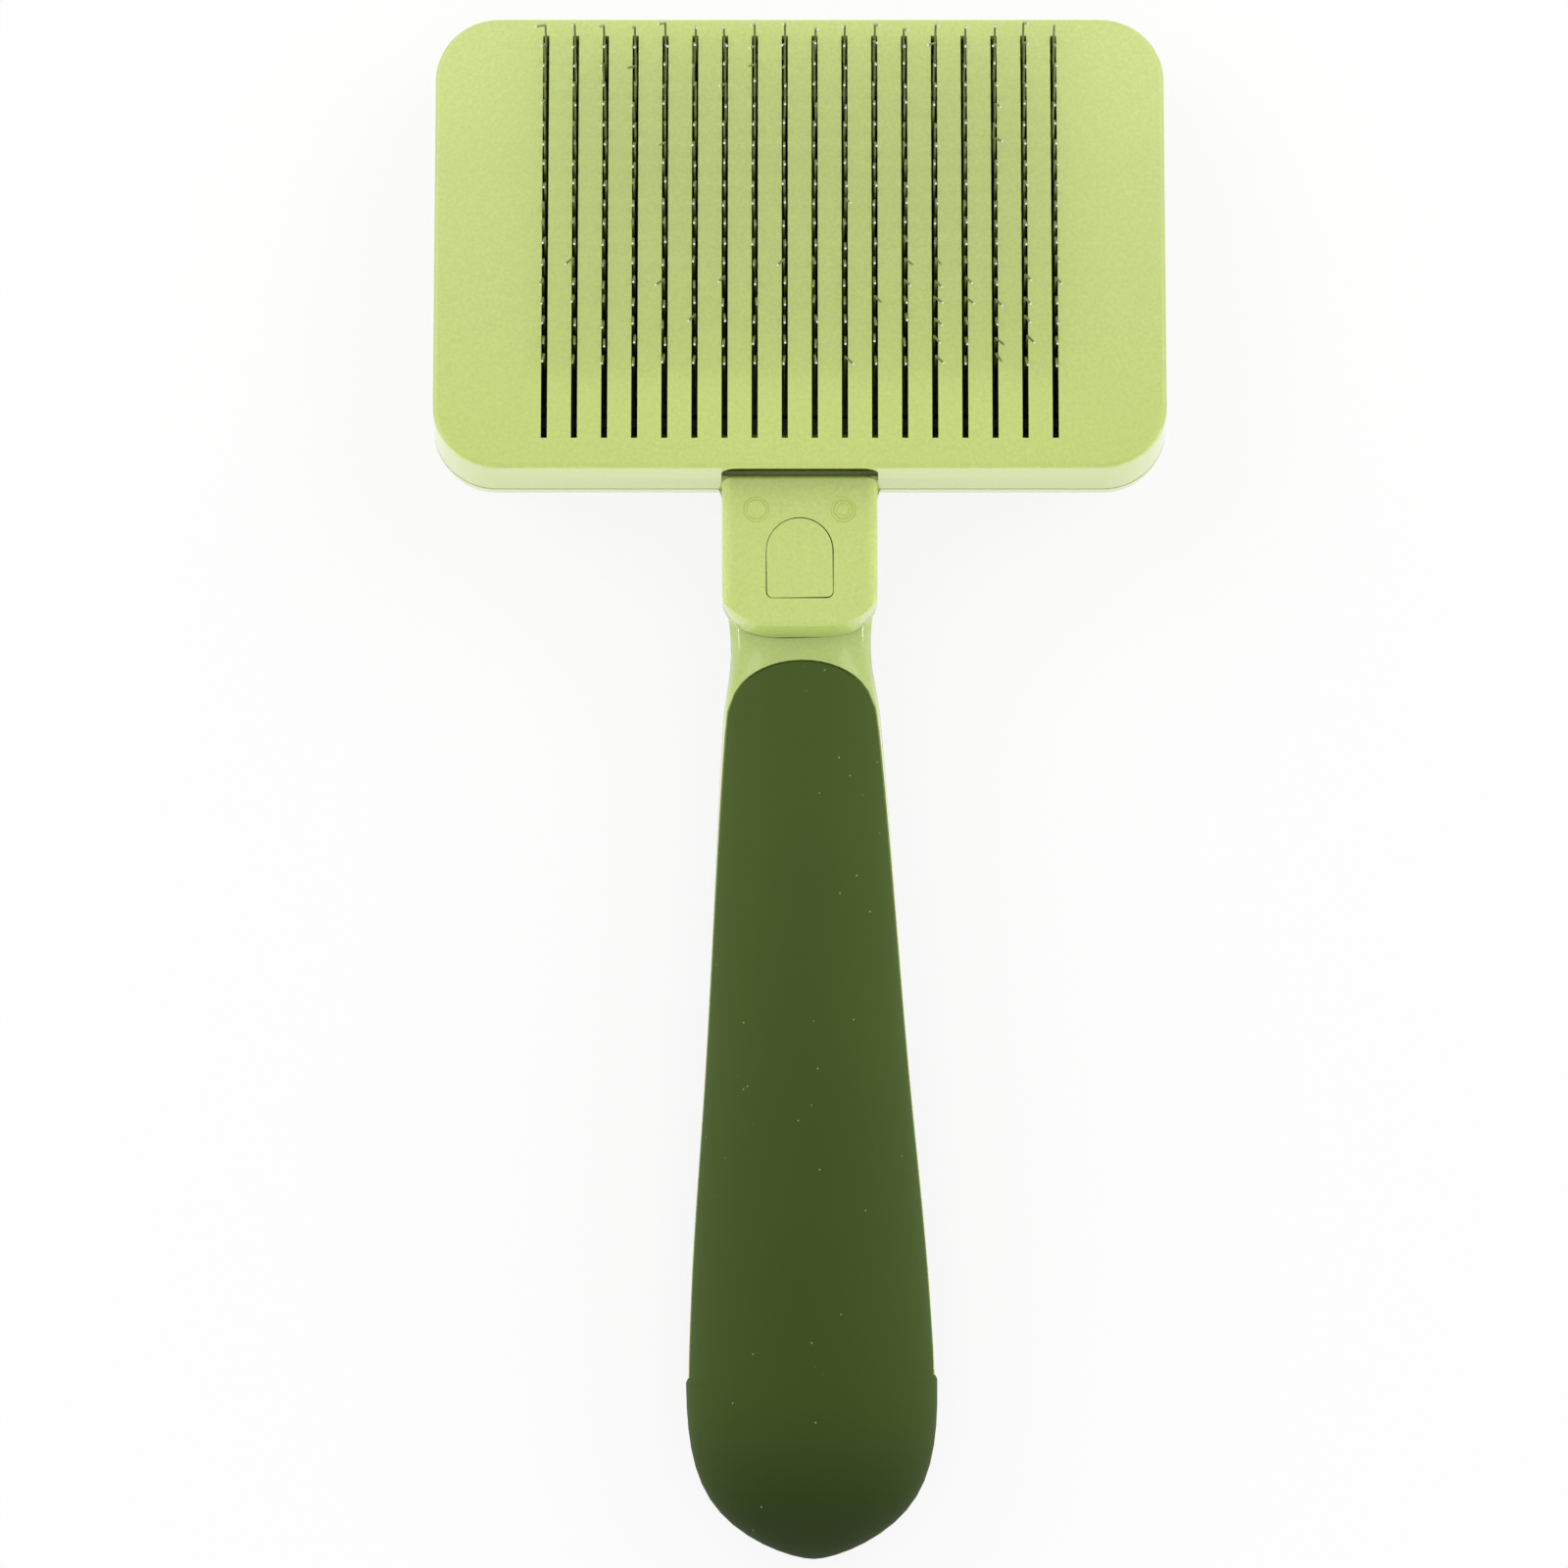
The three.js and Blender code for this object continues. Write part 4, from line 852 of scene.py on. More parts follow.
class BRUSH_OT_back_shell(bpy.types.Operator):
    """Adds the lime back shell with the neck sleeve, its lip, bosses and openings."""
    bl_idname = "brush.back_shell"
    bl_label = "Back shell"

    def execute(self, context):
        head, finish = context.scene.brush_head, context.scene.brush_finish
        top, bosses = -PARTING - CLEARANCE, four(*BOSS_AT)
        shell = joined(self.pan(head, top), self.neck(), self.flares(),
                       together(pillars(bosses, BOSS_RADIUS, BACK_FLOOR - ROOT, top)))
        holes = pillars(bosses, SCREW_RADIUS + CLEARANCE, HEAD_BACK - PAST, top + PAST)
        socket = placed(sleeve_room(-SLEEVE_CORNER[1], TANG + CLEARANCE, 0), SLEEVE)
        window = placed(tab_block(TAB_GROOVE, 0, 2 * SLEEVE_DEPTH), SLEEVE)
        for tool in (socket, window, self.well(), together(holes), together(self.bores(bosses)),
                     self.button_mouth(), *self.marks()):
            shell = cut(shell, tool)
        # The back shell carries painted shade on the sleeve's sloped end and painted light on the
        # block.
        finished(shell, "back_shell_pan", HEAD, "brush",
                 made_of("lime_abs_sleeve_light_and_shade", moulded_abs, finish, SLEEVE_LIGHT_AND_SHADE), ["back_shell"])
        return {"FINISHED"}

    def pan(self, head, top):
        """The open shell with the lip that enters the front shell."""
        half_x, half_y = head_half(head)
        pan = plate(half_x + WALL_DRAFT, half_y + WALL_DRAFT, head.corner / MM, HEAD_BACK, top,
                    segments=CORNER_STEPS)
        rounded(pan, edges(pan, lambda at: at.z < HEAD_BACK + HAIR), head.back_edge / MM, 8)
        opening = level(pan, top)
        inset(pan, opening, WALL_DRAFT + FRONT_WALL + CLEARANCE)
        lip = inset(pan, opening, LIP_THICKNESS)
        pushed(pan, lip, (0, 0, LIP_HEIGHT + CLEARANCE))
        floor = pushed(pan, opening, (0, 0, BACK_FLOOR - top))
        rounded(pan, rim(floor), BACK_ROOM_EDGE, 4)
        return pan

    def neck(self):
        """The sleeve, as far as the room that the front shell encloses."""
        room = plate(HALF_WIDTH - FRONT_WALL, HALF_LENGTH - FRONT_WALL, HEAD_CORNER - FRONT_WALL,
                     BACK_FLOOR, -FRONT_WALL)
        return cut(sleeve_solid(0, proud=True), room)

    def flares(self):
        """Concave fillets that spread the wall of the pan into the sides of the sleeve."""
        reach, start = SLEEVE_HALF + NECK_FLARE, SLEEVE_LENGTH - NECK_FLARE
        web = block((-reach, start, -SLEEVE_DEPTH),
                    (reach, SLEEVE_LENGTH + SLEEVE_DEPTH, SLEEVE_DEPTH))
        hollows = pillars([(-reach, start), (reach, start)], NECK_FLARE, -SLEEVE_DEPTH - PAST,
                          SLEEVE_DEPTH + PAST, 48)
        web = placed(cut(web, *hollows), SLEEVE)
        wide = 2 * HALF_WIDTH
        return shared(web, block((-wide, -wide, HEAD_BACK + BACK_EDGE / 2),
                                 (wide, ROOT - HALF_LENGTH, -PARTING - CLEARANCE)))

    def well(self):
        """A cutter that opens the gap over the neck block down to the dark inside of the head."""
        half, start = SLEEVE_HALF - HAIR, SLEEVE_LENGTH - BLOCK[0] - WELL_OVERLAP
        return placed(block((-half, start, WELL_FLOOR - SLEEVE_DEPTH),
                            (half, start + SLEEVE_DEPTH, SLEEVE_DEPTH + PAST)), SLEEVE)

    def bores(self, bosses):
        """Cutters for the shell screws' heads, up from the back, with a chamfered mouth."""
        radius, low = SCREW_HEAD[0] + CLEARANCE, HEAD_BACK - PAST
        profile = [(0, low), (radius + BORE_CHAMFER + PAST, low),
                   (radius, HEAD_BACK + BORE_CHAMFER), (radius, SCREW_SEAT), (0, SCREW_SEAT)]
        return [turned(profile, at=(*at, 0)) for at in bosses]

    def button_mouth(self):
        """A cutter for the button's opening, with a small chamfer at its mouth."""
        wider = SLIDING_GAP + MOUTH_CHAMFER
        half_x, half_y = (half + wider for half in BUTTON_HALF)
        mouth = plate(half_x, half_y, BUTTON_CORNER + wider, HEAD_BACK - PAST, HEAD_BACK, BUTTON_Y)
        inner = level(mouth, HEAD_BACK)
        inset(mouth, inner, MOUTH_CHAMFER)
        bmesh.ops.translate(mouth, vec=(0, 0, MOUTH_CHAMFER),
                            verts=[vert for face in inner for vert in face.verts])
        pushed(mouth, inner, (0, 0, BACK_FLOOR + PAST - HEAD_BACK - MOUTH_CHAMFER))
        return mouth

    def marks(self):
        """Cutters for the shallow ejector marks, the right one of which has a second ring."""
        radius, depth, spread, along = MARKS
        for x, ring in ((-spread, radius), (spread, radius), (spread, radius * SECOND_MARK)):
            inner = ring - 2.5 * depth
            groove = turned([(inner, SLEEVE_DEPTH + HAIR), (inner + depth, SLEEVE_DEPTH - depth),
                             (ring, SLEEVE_DEPTH - depth), (ring + 2 * depth, SLEEVE_DEPTH + depth),
                             (inner, SLEEVE_DEPTH + depth), (inner, SLEEVE_DEPTH + HAIR)],
                            at=(x, along, 0))
            yield placed(groove, SLEEVE)


class BRUSH_OT_pins(bpy.types.Operator):
    """Adds the rubber pads and the 324 bent pins that stand in them."""
    bl_idname = "brush.pins"
    bl_label = "Pins and pads"

    def execute(self, context):
        head, pins, finish = (getattr(context.scene, name)
                              for name in ("brush_head", "brush_pins", "brush_finish"))
        half_y, middles = head_half(head)[1], slot_middles(head)
        chance = random.Random(SEED)
        wire = made_of("stainless_wire_drawn", steel, finish.wire, WORN_STEEL)
        # The bright steel on the knees and tips is painted glints.
        bright = made_of("stainless_wire_painted_glint", steel, finish.steel, GLINT_STEEL)
        rubber = made_of("pad_rubber_cast", pad_rubber, finish)
        for third, side in enumerate(("left", "middle", "right")):
            first, last = third * head.slots // 3, (third + 1) * head.slots // 3
            finished(self.pad(head, half_y, first, last), "pin_pad_" + side, HEAD, "carrier",
                     rubber)
            field = [self.pin(x, half_y, row, pins, chance)
                     for x in middles[first:last] for row in range(PIN_ROWS)]
            bank = finished(together(field), "pins_" + side, HEAD, "carrier", wire,
                            ["pin_bank_" + side], 60)
            bank.data.materials.append(bright)
        return {"FINISHED"}

    def pad(self, head, half_y, first, last):
        """The pad under some of the slots, as far as halfway to the next or past the outermost."""
        left, right = ((slot - head.slots / 2) * slot_pitch(head) for slot in (first, last))
        middles = slot_middles(head)
        left = left + CLEARANCE / 2 if first else middles[0] - PAD_MARGIN
        right = right - CLEARANCE / 2 if last < head.slots else middles[-1] + PAD_MARGIN
        ends = []
        for row, margin in ((0, -PAD_MARGIN), (PIN_ROWS - 1, PAD_MARGIN)):
            along, height, lean, _ = self.knee(half_y, row)
            ends.append(along - (height - PAD_TOP) * math.tan(lean) + margin)
        pad = block((left, ends[0], PAD_TOP - PAD_THICKNESS), (right, ends[1], PAD_TOP))
        rounded_top(pad, PAD_TOP, PAD_EDGE, 2)
        return pad

    def knee(self, half_y, row):
        """Where a row's knees lie along and over the face, and the leans of shaft and tip."""
        share = row / (PIN_ROWS - 1)

        def mix(first, last):
            return first + (last - first) * share

        along = mix(NEAR_MARGIN - half_y + FIRST_KNEE, half_y - FAR_MARGIN + LAST_KNEE)
        return along, mix(*KNEE_HEIGHTS), math.radians(mix(*LEANS)), math.radians(mix(*TIP_LEANS))

    def strayed(self, row, out, play, chance):
        """How a pin stands out of line, by chance: the knee's sway and shift, the tip's turn
        sideways and extra length, and whether its knee and tip get painted glints."""
        sway = chance.gauss(0, play * SWAY)
        nudge = chance.gauss(0, play)
        at_end = row >= PIN_ROWS - LAST_ROWS
        turn = chance.gauss(TIP_FAN * out, TIP_SPREADS[at_end])
        stray = chance.uniform(*STRAY_TURNS)
        often = STRAY_SHARES[row < STRAY_ROWS and out > STRAY_SIDE]
        if chance.random() < often and not at_end:
            turn = math.copysign(stray, out)
        shift = Vector((0, nudge, chance.gauss(0, play * RISE)))
        return sway, shift, turn, chance.gauss(0, play * RISE), chance.random() < GLINT_SHARE

    def pin(self, x, half_y, row, pins, chance):
        """One pin: a straight shaft, a bend at the knee and a straight tip."""
        along, height, lean, tip_lean = self.knee(half_y, row)
        out = x / (HALF_WIDTH - SIDE_MARGIN)
        sway, shift, sideways, longer, glinting = self.strayed(row, out, pins.play / MM, chance)
        knee, turn = Vector((0, along, height)) + shift, lean + tip_lean
        shaft = Vector((0, math.sin(lean), math.cos(lean)))
        bend = pins.bend / MM
        cut_back = bend * math.tan(turn / 2)
        deep = (knee.z - PAD_TOP + PIN_ROOT) / math.cos(lean)
        wire = bmesh.new()
        bmesh.ops.create_circle(wire, segments=6, radius=pins.wire / MM / 2)
        placed(wire, Matrix.Rotation(-lean, 4, "X"))
        bmesh.ops.translate(wire, vec=knee - shaft * deep, verts=wire.verts)
        ring = self.drawn(wire, wire.edges[:], shaft * (deep - cut_back))
        side = Vector((0, -shaft.z, shaft.y))
        centre = knee - shaft * cut_back + side * bend
        ring = bmesh.ops.spin(wire, geom=ring, cent=centre, axis=X, angle=turn, steps=3,
                              use_merge=False)["geom_last"]
        tip = Vector((math.tan(sideways), -math.sin(tip_lean), math.cos(tip_lean)))
        self.drawn(wire, ring, tip * (pins.tip / MM - cut_back + longer))
        closed(wire)
        if glinting:
            self.paint_glints(wire, knee, bend)
        bmesh.ops.translate(wire, vec=(x, 0, 0), verts=wire.verts)
        reach = knee.z - PAD_TOP
        for vert in wire.verts:
            up = (vert.co.z - PAD_TOP) / reach
            vert.co.x += sway * max(0, up) + out * pins.fan / MM * (up - FAN_PIVOT)
        return wire

    def drawn(self, wire, ring, offset):
        """Draws a ring of edges out by an offset and gives the new ring."""
        grown = bmesh.ops.extrude_edge_only(wire, edges=only(BMEdge, ring))["geom"]
        moved = only(BMVert, grown)
        bmesh.ops.translate(wire, vec=offset, verts=moved)
        new = set(moved)
        return [edge for edge in only(BMEdge, grown) if all(vert in new for vert in edge.verts)]

    def paint_glints(self, wire, knee, bend):
        """Gives the faces round the knee and at the tip the bright steel, as painted glints."""
        distances = [(face.calc_center_median() - knee).length for face in wire.faces]
        near = min(distances) + bend / 5
        for face, distance in zip(wire.faces, distances):
            if len(face.verts) > 4 or distance < near:
                face.material_index = 1


class BRUSH_OT_springs(bpy.types.Operator):
    """Adds the four return springs as fixed coils; in the brush they shorten as the pins slide out.
    """
    bl_idname = "brush.springs"
    bl_label = "Return springs"

    def execute(self, context):
        pins, finish = context.scene.brush_pins, context.scene.brush_finish
        material = made_of("spring_wire_drawn", steel, finish.steel, CLEAN_STEEL)
        radius = pins.spring_wire / MM / 2
        low = CUP_SEAT + CLEARANCE + radius
        high = -FRONT_WALL - CLEARANCE - radius
        for index, at in enumerate(four(SPRING_X, SPRING_SPREAD, SPRING_MIDDLE), 1):
            coil = placed(self.coil(radius, low, high), Matrix.Translation((*at, 0)))
            spring = finished(coil, f"coil_spring_{index}", HEAD, "brush",
                              material, [f"return_spring_{index}"])
            anchor = HEAD @ Vector((*at, high + radius))
            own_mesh(spring)
        return {"FINISHED"}

    def coil(self, radius, low, high):
        """A spring between two heights, with a closed turn at each end."""
        coil = bmesh.new()
        bmesh.ops.create_circle(coil, cap_ends=True, segments=10, radius=radius,
                                matrix=Matrix.Rotation(math.pi / 2, 4, "X"))
        bmesh.ops.translate(coil, vec=(SPRING_RADIUS, 0, low), verts=coil.verts)
        dead = 2 * radius * COIL_RISE / COIL_STEPS
        rise = (high - low - 2 * dead * COIL_STEPS) / (OPEN_TURNS * COIL_STEPS)
        geometry = everything(coil)
        for turns, climb in ((1, dead), (OPEN_TURNS, rise), (1, dead)):
            geometry = bmesh.ops.spin(coil, geom=geometry, cent=(0, 0, 0), axis=Z,
                                      dvec=(0, 0, climb), angle=2 * math.pi * turns,
                                      steps=int(turns * COIL_STEPS), use_merge=False)["geom_last"]
        bmesh.ops.recalc_face_normals(coil, faces=coil.faces)
        return coil


class BRUSH_OT_thumb_button(bpy.types.Operator):
    """Adds the thumb button with its flange and the ribbed rubber pad on it."""
    bl_idname = "brush.thumb_button"
    bl_label = "Thumb button"

    def execute(self, context):
        finish = context.scene.brush_finish
        finished(self.cap(), "thumb_button_cap", HEAD, "carrier",
                 made_of("lime_abs_spark_eroded", moulded_abs, finish), ["thumb_button"])
        turn = Matrix.Rotation(BUTTON_SLOPE, 4, "X") @ Matrix.Rotation(math.pi, 4, "Y")
        place = Matrix.Translation((0, BUTTON_Y, HEAD_BACK - BUTTON_PROUD)) @ turn
        finished(self.pad(), "thumb_pad_ribbed", HEAD @ place, "carrier",
                 made_of("green_rubber_soft_touch", soft_touch_rubber, finish), ["button_pad"])
        return {"FINISHED"}

    def cap(self):
        """The hollow button with its flange, its sloped face and the bosses for its screws."""
        half_x, half_y = (half + FLANGE_REACH for half in BUTTON_HALF)
        outward = Matrix.Rotation(BUTTON_SLOPE, 3, "X") @ -Z
        face = Vector((0, BUTTON_Y, HEAD_BACK - BUTTON_PROUD)) - outward * (THUMB_PAD + CLEARANCE)
        stem = plate(half_x, half_y, BUTTON_CORNER + FLANGE_REACH, FLANGE_BACK,
                     FLANGE_FRONT, BUTTON_Y)
        back = level(stem, FLANGE_BACK)
        inset(stem, back, FLANGE_REACH)
        pushed(stem, back, (0, 0, HEAD_BACK - 2 * BUTTON_PROUD - FLANGE_BACK))
        trimmed(stem, face, outward)
        crown = max(stem.faces, key=lambda item: item.normal.dot(outward) * item.calc_area())
        rounded(stem, rim([crown]), CROWN_EDGE, 4)
        front, floor = level(stem, FLANGE_FRONT), HEAD_BACK - BUTTON_WALL
        inset(stem, front, FLANGE_REACH + BUTTON_WALL)
        pushed(stem, front, (0, 0, floor - FLANGE_FRONT))
        places = [(x, BUTTON_Y) for x in (-BUTTON_SCREW_X, BUTTON_SCREW_X)]
        bosses = pillars(places, BOSS_RADIUS, floor - ROOT, FLANGE_FRONT)
        pilots = pillars(places, SCREW_RADIUS + CLEARANCE,
                         TRAY_FLOOR - SCREW_HEAD[1] - BUTTON_SCREW - PAST, FLANGE_FRONT + PAST)
        return cut(joined(stem, together(bosses)), *pilots)

    def pad(self):
        """The rubber pad, flat with its ribs up: it is turned onto the thumb face later."""
        half_x, half_y = (side - THUMB_INSET for side in BUTTON_HALF)
        corner = BUTTON_CORNER - THUMB_INSET
        pad = plate(half_x, half_y, corner, -THUMB_PAD, 0)
        rounded_top(pad, 0, THUMB_EDGE, 4)
        pitch = 2 * half_y / (RIBS + 1)
        half, reach = pitch / 5, half_x - corner * RIB_REACH
        ribs = []
        for index in range(RIBS):
            y = -half_y + (index + 1) * pitch
            rib = block((-reach, y - half, -RIB_SINK), (reach, y + half, RIB_HEIGHT))
            rounded(rib, upright(rib), half * 0.98, 4)
            rounded_top(rib, RIB_HEIGHT, RIB_EDGE, 3)
            ribs.append(rib)
        return joined(pad, together(ribs))


class BRUSH_OT_screws(bpy.types.Operator):
    """Adds the four shell screws and the two screws of the thumb button."""
    bl_idname = "brush.screws"
    bl_label = "Screws"

    def execute(self, context):
        finish = context.scene.brush_finish
        material = made_of("zinc_plated_steel", steel, finish.steel, CLEAN_STEEL)
        for index, at in enumerate(four(*BOSS_AT), 1):
            place = Matrix.Translation((*at, SCREW_SEAT - CLEARANCE))
            finished(self.screw(SHELL_SCREW), f"shell_screw_pan_{index}", HEAD @ place,
                     "brush", material, [f"shell_screw_{index}"])
        for index, x in enumerate((-BUTTON_SCREW_X, BUTTON_SCREW_X), 1):
            seat = TRAY_FLOOR - SCREW_HEAD[1] + CLEARANCE / 2
            place = Matrix.Translation((x, BUTTON_Y, seat)) @ Matrix.Rotation(math.pi, 4, "X")
            finished(self.screw(BUTTON_SCREW), f"button_screw_pan_{index}", HEAD @ place,
                     "carrier", material, [f"button_screw_{index}"])
        return {"FINISHED"}

    def screw(self, shaft):
        """A pan-head screw with a cross recess, pointing up from its seat."""
        radius, height = SCREW_HEAD
        head = [(radius * across, -height * down) for across, down in PAN]
        screw = turned([(0, -height), *head, (SCREW_RADIUS, 0),
                        (SCREW_RADIUS, shaft - SCREW_POINT), (0, shaft)])
        reach, half, depth = radius * RECESS[0], *RECESS[1:]
        for x, y in ((reach, half), (half, reach)):
            screw = cut(screw, block((-x, -y, -height - PAST), (x, y, -height + depth)))
        return screw


# ---------------------------------------------------------------- handle


def through(index, along):
    """A size of the handle's section at a place, on a smooth curve through the stations."""
    places = list(STATIONS)
    sizes = [STATIONS[place][index] for place in places]
    along = min(max(along, places[0]), places[-1])
    at = max(i for i in range(len(places) - 1) if places[i] <= along)

    def slope(i):
        low, high = max(i - 1, 0), min(i + 1, len(places) - 1)
        return (sizes[high] - sizes[low]) / (places[high] - places[low])

    gap = places[at + 1] - places[at]
    t = (along - places[at]) / gap
    return ((1 + 2 * t) * (1 - t) ** 2 * sizes[at] + t * (1 - t) ** 2 * gap * slope(at)
            + t * t * (3 - 2 * t) * sizes[at + 1] + t * t * (t - 1) * gap * slope(at + 1))


def skin_angle(column, along, half_band):
    """The angle round the section at a column; the rim's columns keep the rim's height."""
    along = min(along, RIM_END)
    depth, drop = through(1, along), through(2, along)
    front = math.acos(min(1, (half_band + drop) / depth) ** (1 / SECTION))
    back = math.acos(min(1, max(0, half_band - drop) / depth) ** (1 / SECTION))
    column %= COLUMNS
    if column <= PANEL:
        return front * (2 * column / PANEL - 1)
    if column <= PANEL + BAND:
        return front + (math.pi - back - front) * (column - PANEL) / BAND
    if column <= 2 * PANEL + BAND:
        return math.pi - back + 2 * back * (column - PANEL - BAND) / PANEL
    start = math.pi + back
    return start + (2 * math.pi - front - start) * (column - 2 * PANEL - BAND) / BAND


def skin_point(angle, along, inward, proud, scale=1, reach=0):
    """A point on the handle's skin."""
    sine, cosine = math.sin(angle), math.cos(angle)
    half = (through(0, along) - inward + proud) * scale
    depth = (through(1, along) - inward) * scale
    return Vector((math.copysign(half * abs(sine) ** SECTION, sine), -along - reach,
                   math.copysign(depth * abs(cosine) ** SECTION, cosine) - through(2, along)))


def arch_line(column, half_band, lower):
    """Where the grip starts on a column, moved down by a little."""
    top, height, half = ARCH
    along = top + height / 2
    for _ in range(8):
        x = abs(skin_point(skin_angle(column, along, half_band), along, 0, 0).x)
        along = top + height * (1 - math.sqrt(max(0, 1 - min(1, x / half) ** 2))) + lower
    return along


def skin(rows, half_band, lower, place):
    """A tube of rows round the handle, closed at the butt, each point put by its row and column.

    A row is its share of the arch line, its own place, and its turn round the butt.
    """
    shape = bmesh.new()
    column = shape.verts.layers.int.new("column")
    row = shape.verts.layers.int.new("row")
    bmesh.ops.create_circle(shape, segments=COLUMNS, radius=1)
    shape.verts.ensure_lookup_table()
    for index, vert in enumerate(shape.verts):
        vert[column] = index
    ring = shape.edges[:]
    for step in range(1, len(rows)):
        grown = bmesh.ops.extrude_edge_only(shape, edges=ring)["geom"]
        for vert in only(BMVert, grown):
            vert[row] = step
        ring = [edge for edge in only(BMEdge, grown)
                if all(vert[row] == step for vert in edge.verts)]
    bmesh.ops.holes_fill(shape, edges=ring, sides=0)
    settle(shape, shape.verts, rows, half_band, lower, place)
    return shape, column, row


def settle(shape, verts, rows, half_band, lower, place):
    """Puts vertices where their rows and columns say."""
    column, row = shape.verts.layers.int["column"], shape.verts.layers.int["row"]
    lines = [arch_line(index, half_band, lower) for index in range(COLUMNS)]
    for vert in verts:
        share, own, turn = rows[vert[row]]
        along = share * lines[vert[column]] + own
        vert.co = place(skin_angle(vert[column], along, half_band), along, turn)


def neck_rows():
    """Rows from the root of the neck to just short of the arch."""
    shares = [step / NECK_STEPS for step in range(NECK_STEPS)]
    return [(share, NECK_ROOT * (1 - share), 0) for share in shares]


def grip_rows():
    """Rows from the arch to the end of the rim."""
    shares = [(step / GRIP_STEPS) ** GRIP_SPREAD for step in range(GRIP_STEPS + 1)]
    return [(1 - share, RIM_END * share, 0) for share in shares]


def butt_rows():
    """Rows round the butt."""
    start, turn = HANDLE_END - BUTT_ROUND, BUTT_CLOSE * math.pi / 2
    return [(0, start, turn * step / BUTT_STEPS) for step in range(BUTT_STEPS + 1)]


def skin_place(inward, proud=lambda along: 0):
    """Gives the function that puts a point of a skin inwards, standing proud at its sides."""
    def place(angle, along, turn):
        side = proud(along)
        if not turn:
            return skin_point(angle, along, inward, side)
        share = math.sin(turn) ** BUTT
        scale = math.cos(turn) ** (BUTT_FALL[0] + BUTT_FALL[1] * share ** 2)
        return skin_point(angle, along, inward, side, scale, (BUTT_ROUND - inward) * share)
    return place


def on_panel(face, column):
    """Whether a face lies on the front or the back of the grip, clear of the rims."""
    columns = {vert[column] for vert in face.verts}
    return any(columns <= set(range(start, start + PANEL + 1)) for start in (0, PANEL + BAND))


def first_row(face, row):
    return min(vert[row] for vert in face.verts)


class BRUSH_OT_handle_core(bpy.types.Operator):
    """Adds the lime core: the neck, the rims beside the grip, the tang and its tab."""
    bl_idname = "brush.handle_core"
    bl_label = "Handle core"

    def execute(self, context):
        handle, finish = context.scene.brush_handle, context.scene.brush_finish
        band, rubber = handle.rim_height / MM / 2, handle.rubber / MM
        core = cut(self.moulding(band, rubber),
                   sleeve_plan(SLEEVE_HALF + NECK_GAP, NECK_GAP, -NECK_REACH, NECK_REACH))
        # The tang's root stays inside the neck's skin until the sleeve's round corners hide it.
        neck = closed(skin(neck_rows() + [(1, 0, 0)], band, 0, skin_place(CLEARANCE))[0])
        root = shared(sleeve_room(-rubber, SLEEVE_CORNER[1], CLEARANCE), neck)
        tang = joined(root, sleeve_room(SLEEVE_WALL[0], TANG, CLEARANCE))
        tab = tab_block(0, SLEEVE_DEPTH - SLEEVE_WALL[1] - 2 * CLEARANCE, SLEEVE_DEPTH)
        rounded_top(tab, SLEEVE_DEPTH, TAB_EDGE, 2)
        # The core carries painted shade on the neck and painted light on the tab.
        finished(joined(core, tang, tab), "handle_core_moulding", HANDLE, "brush",
                 made_of("lime_abs_core_light_and_shade", moulded_abs, finish, CORE_LIGHT_AND_SHADE), ["handle_core"])
        return {"FINISHED"}

    def moulding(self, band, rubber):
        """The neck and the rims, with the rest sunk to make room for the rubber."""
        rows = neck_rows() + grip_rows()
        end = len(rows) - 1
        rows += butt_rows()
        core, column, row = skin(rows, band, 0, skin_place(0))
        closed(core)
        covered = [face for face in core.faces if first_row(face, row) >= end
                   or (first_row(face, row) >= NECK_STEPS and on_panel(face, column))]
        lip = rim(covered)
        sunk = pushed(core, covered, (0, 0, 0))
        inner = {vert for face in sunk for vert in face.verts}
        settle(core, inner, rows, band, 0, skin_place(rubber))
        rounded(core, [edge for edge in lip if edge.is_valid], CORE_EDGE, 2)
        return core


class BRUSH_OT_grip(bpy.types.Operator):
    """Adds the rubber grip moulded over the core."""
    bl_idname = "brush.grip"
    bl_label = "Grip"

    def execute(self, context):
        handle, finish = context.scene.brush_handle, context.scene.brush_finish
        band, rim_proud = handle.rim_height / MM / 2 + RIM_GAP, handle.rim_proud / MM
        rows = grip_rows()[:-1] + [(0, RIM_END + off, 0) for off in (-BUTT_STEP, BUTT_STEP)]
        end = len(rows) - 1
        rows += butt_rows()
        outside = skin_place(0, lambda along: BUTT_PROUD if along > RIM_END else -rim_proud)
        grip, column, row = skin(rows, band, RIM_GAP, outside)
        spare = [face for face in grip.faces
                 if first_row(face, row) < end and not on_panel(face, column)]
        bmesh.ops.delete(grip, geom=spare, context="FACES")
        bmesh.ops.recalc_face_normals(grip, faces=grip.faces)
        border = [edge for edge in grip.edges if edge.is_boundary]
        grown = bmesh.ops.extrude_face_region(grip, geom=grip.faces[:])["geom"]
        inside = skin_place(handle.rubber / MM - CLEARANCE)
        settle(grip, only(BMVert, grown), rows, band, RIM_GAP, inside)
        bmesh.ops.recalc_face_normals(grip, faces=grip.faces)
        rounded(grip, border, handle.soft_edge / MM, 3)
        finished(grip, "grip_rubber_cover", HANDLE, "brush",
                 made_of("green_rubber_soft_touch", soft_touch_rubber, finish), ["grip_cover"], 50)
        return {"FINISHED"}


class BRUSH_OT_carrier(bpy.types.Operator):
    """Gives the pin carrier its moulded nylon finish."""
    bl_idname = "brush.carrier"
    bl_label = "Carrier finish"

    def execute(self, context):
        material = made_of("carrier_nylon_moulded", moulded_nylon, context.scene.brush_finish)
        for slot in frame["nodes"]["pin_carrier"].material_slots:
            slot.material = material
        return {"FINISHED"}


# ---------------------------------------------------------------- stage


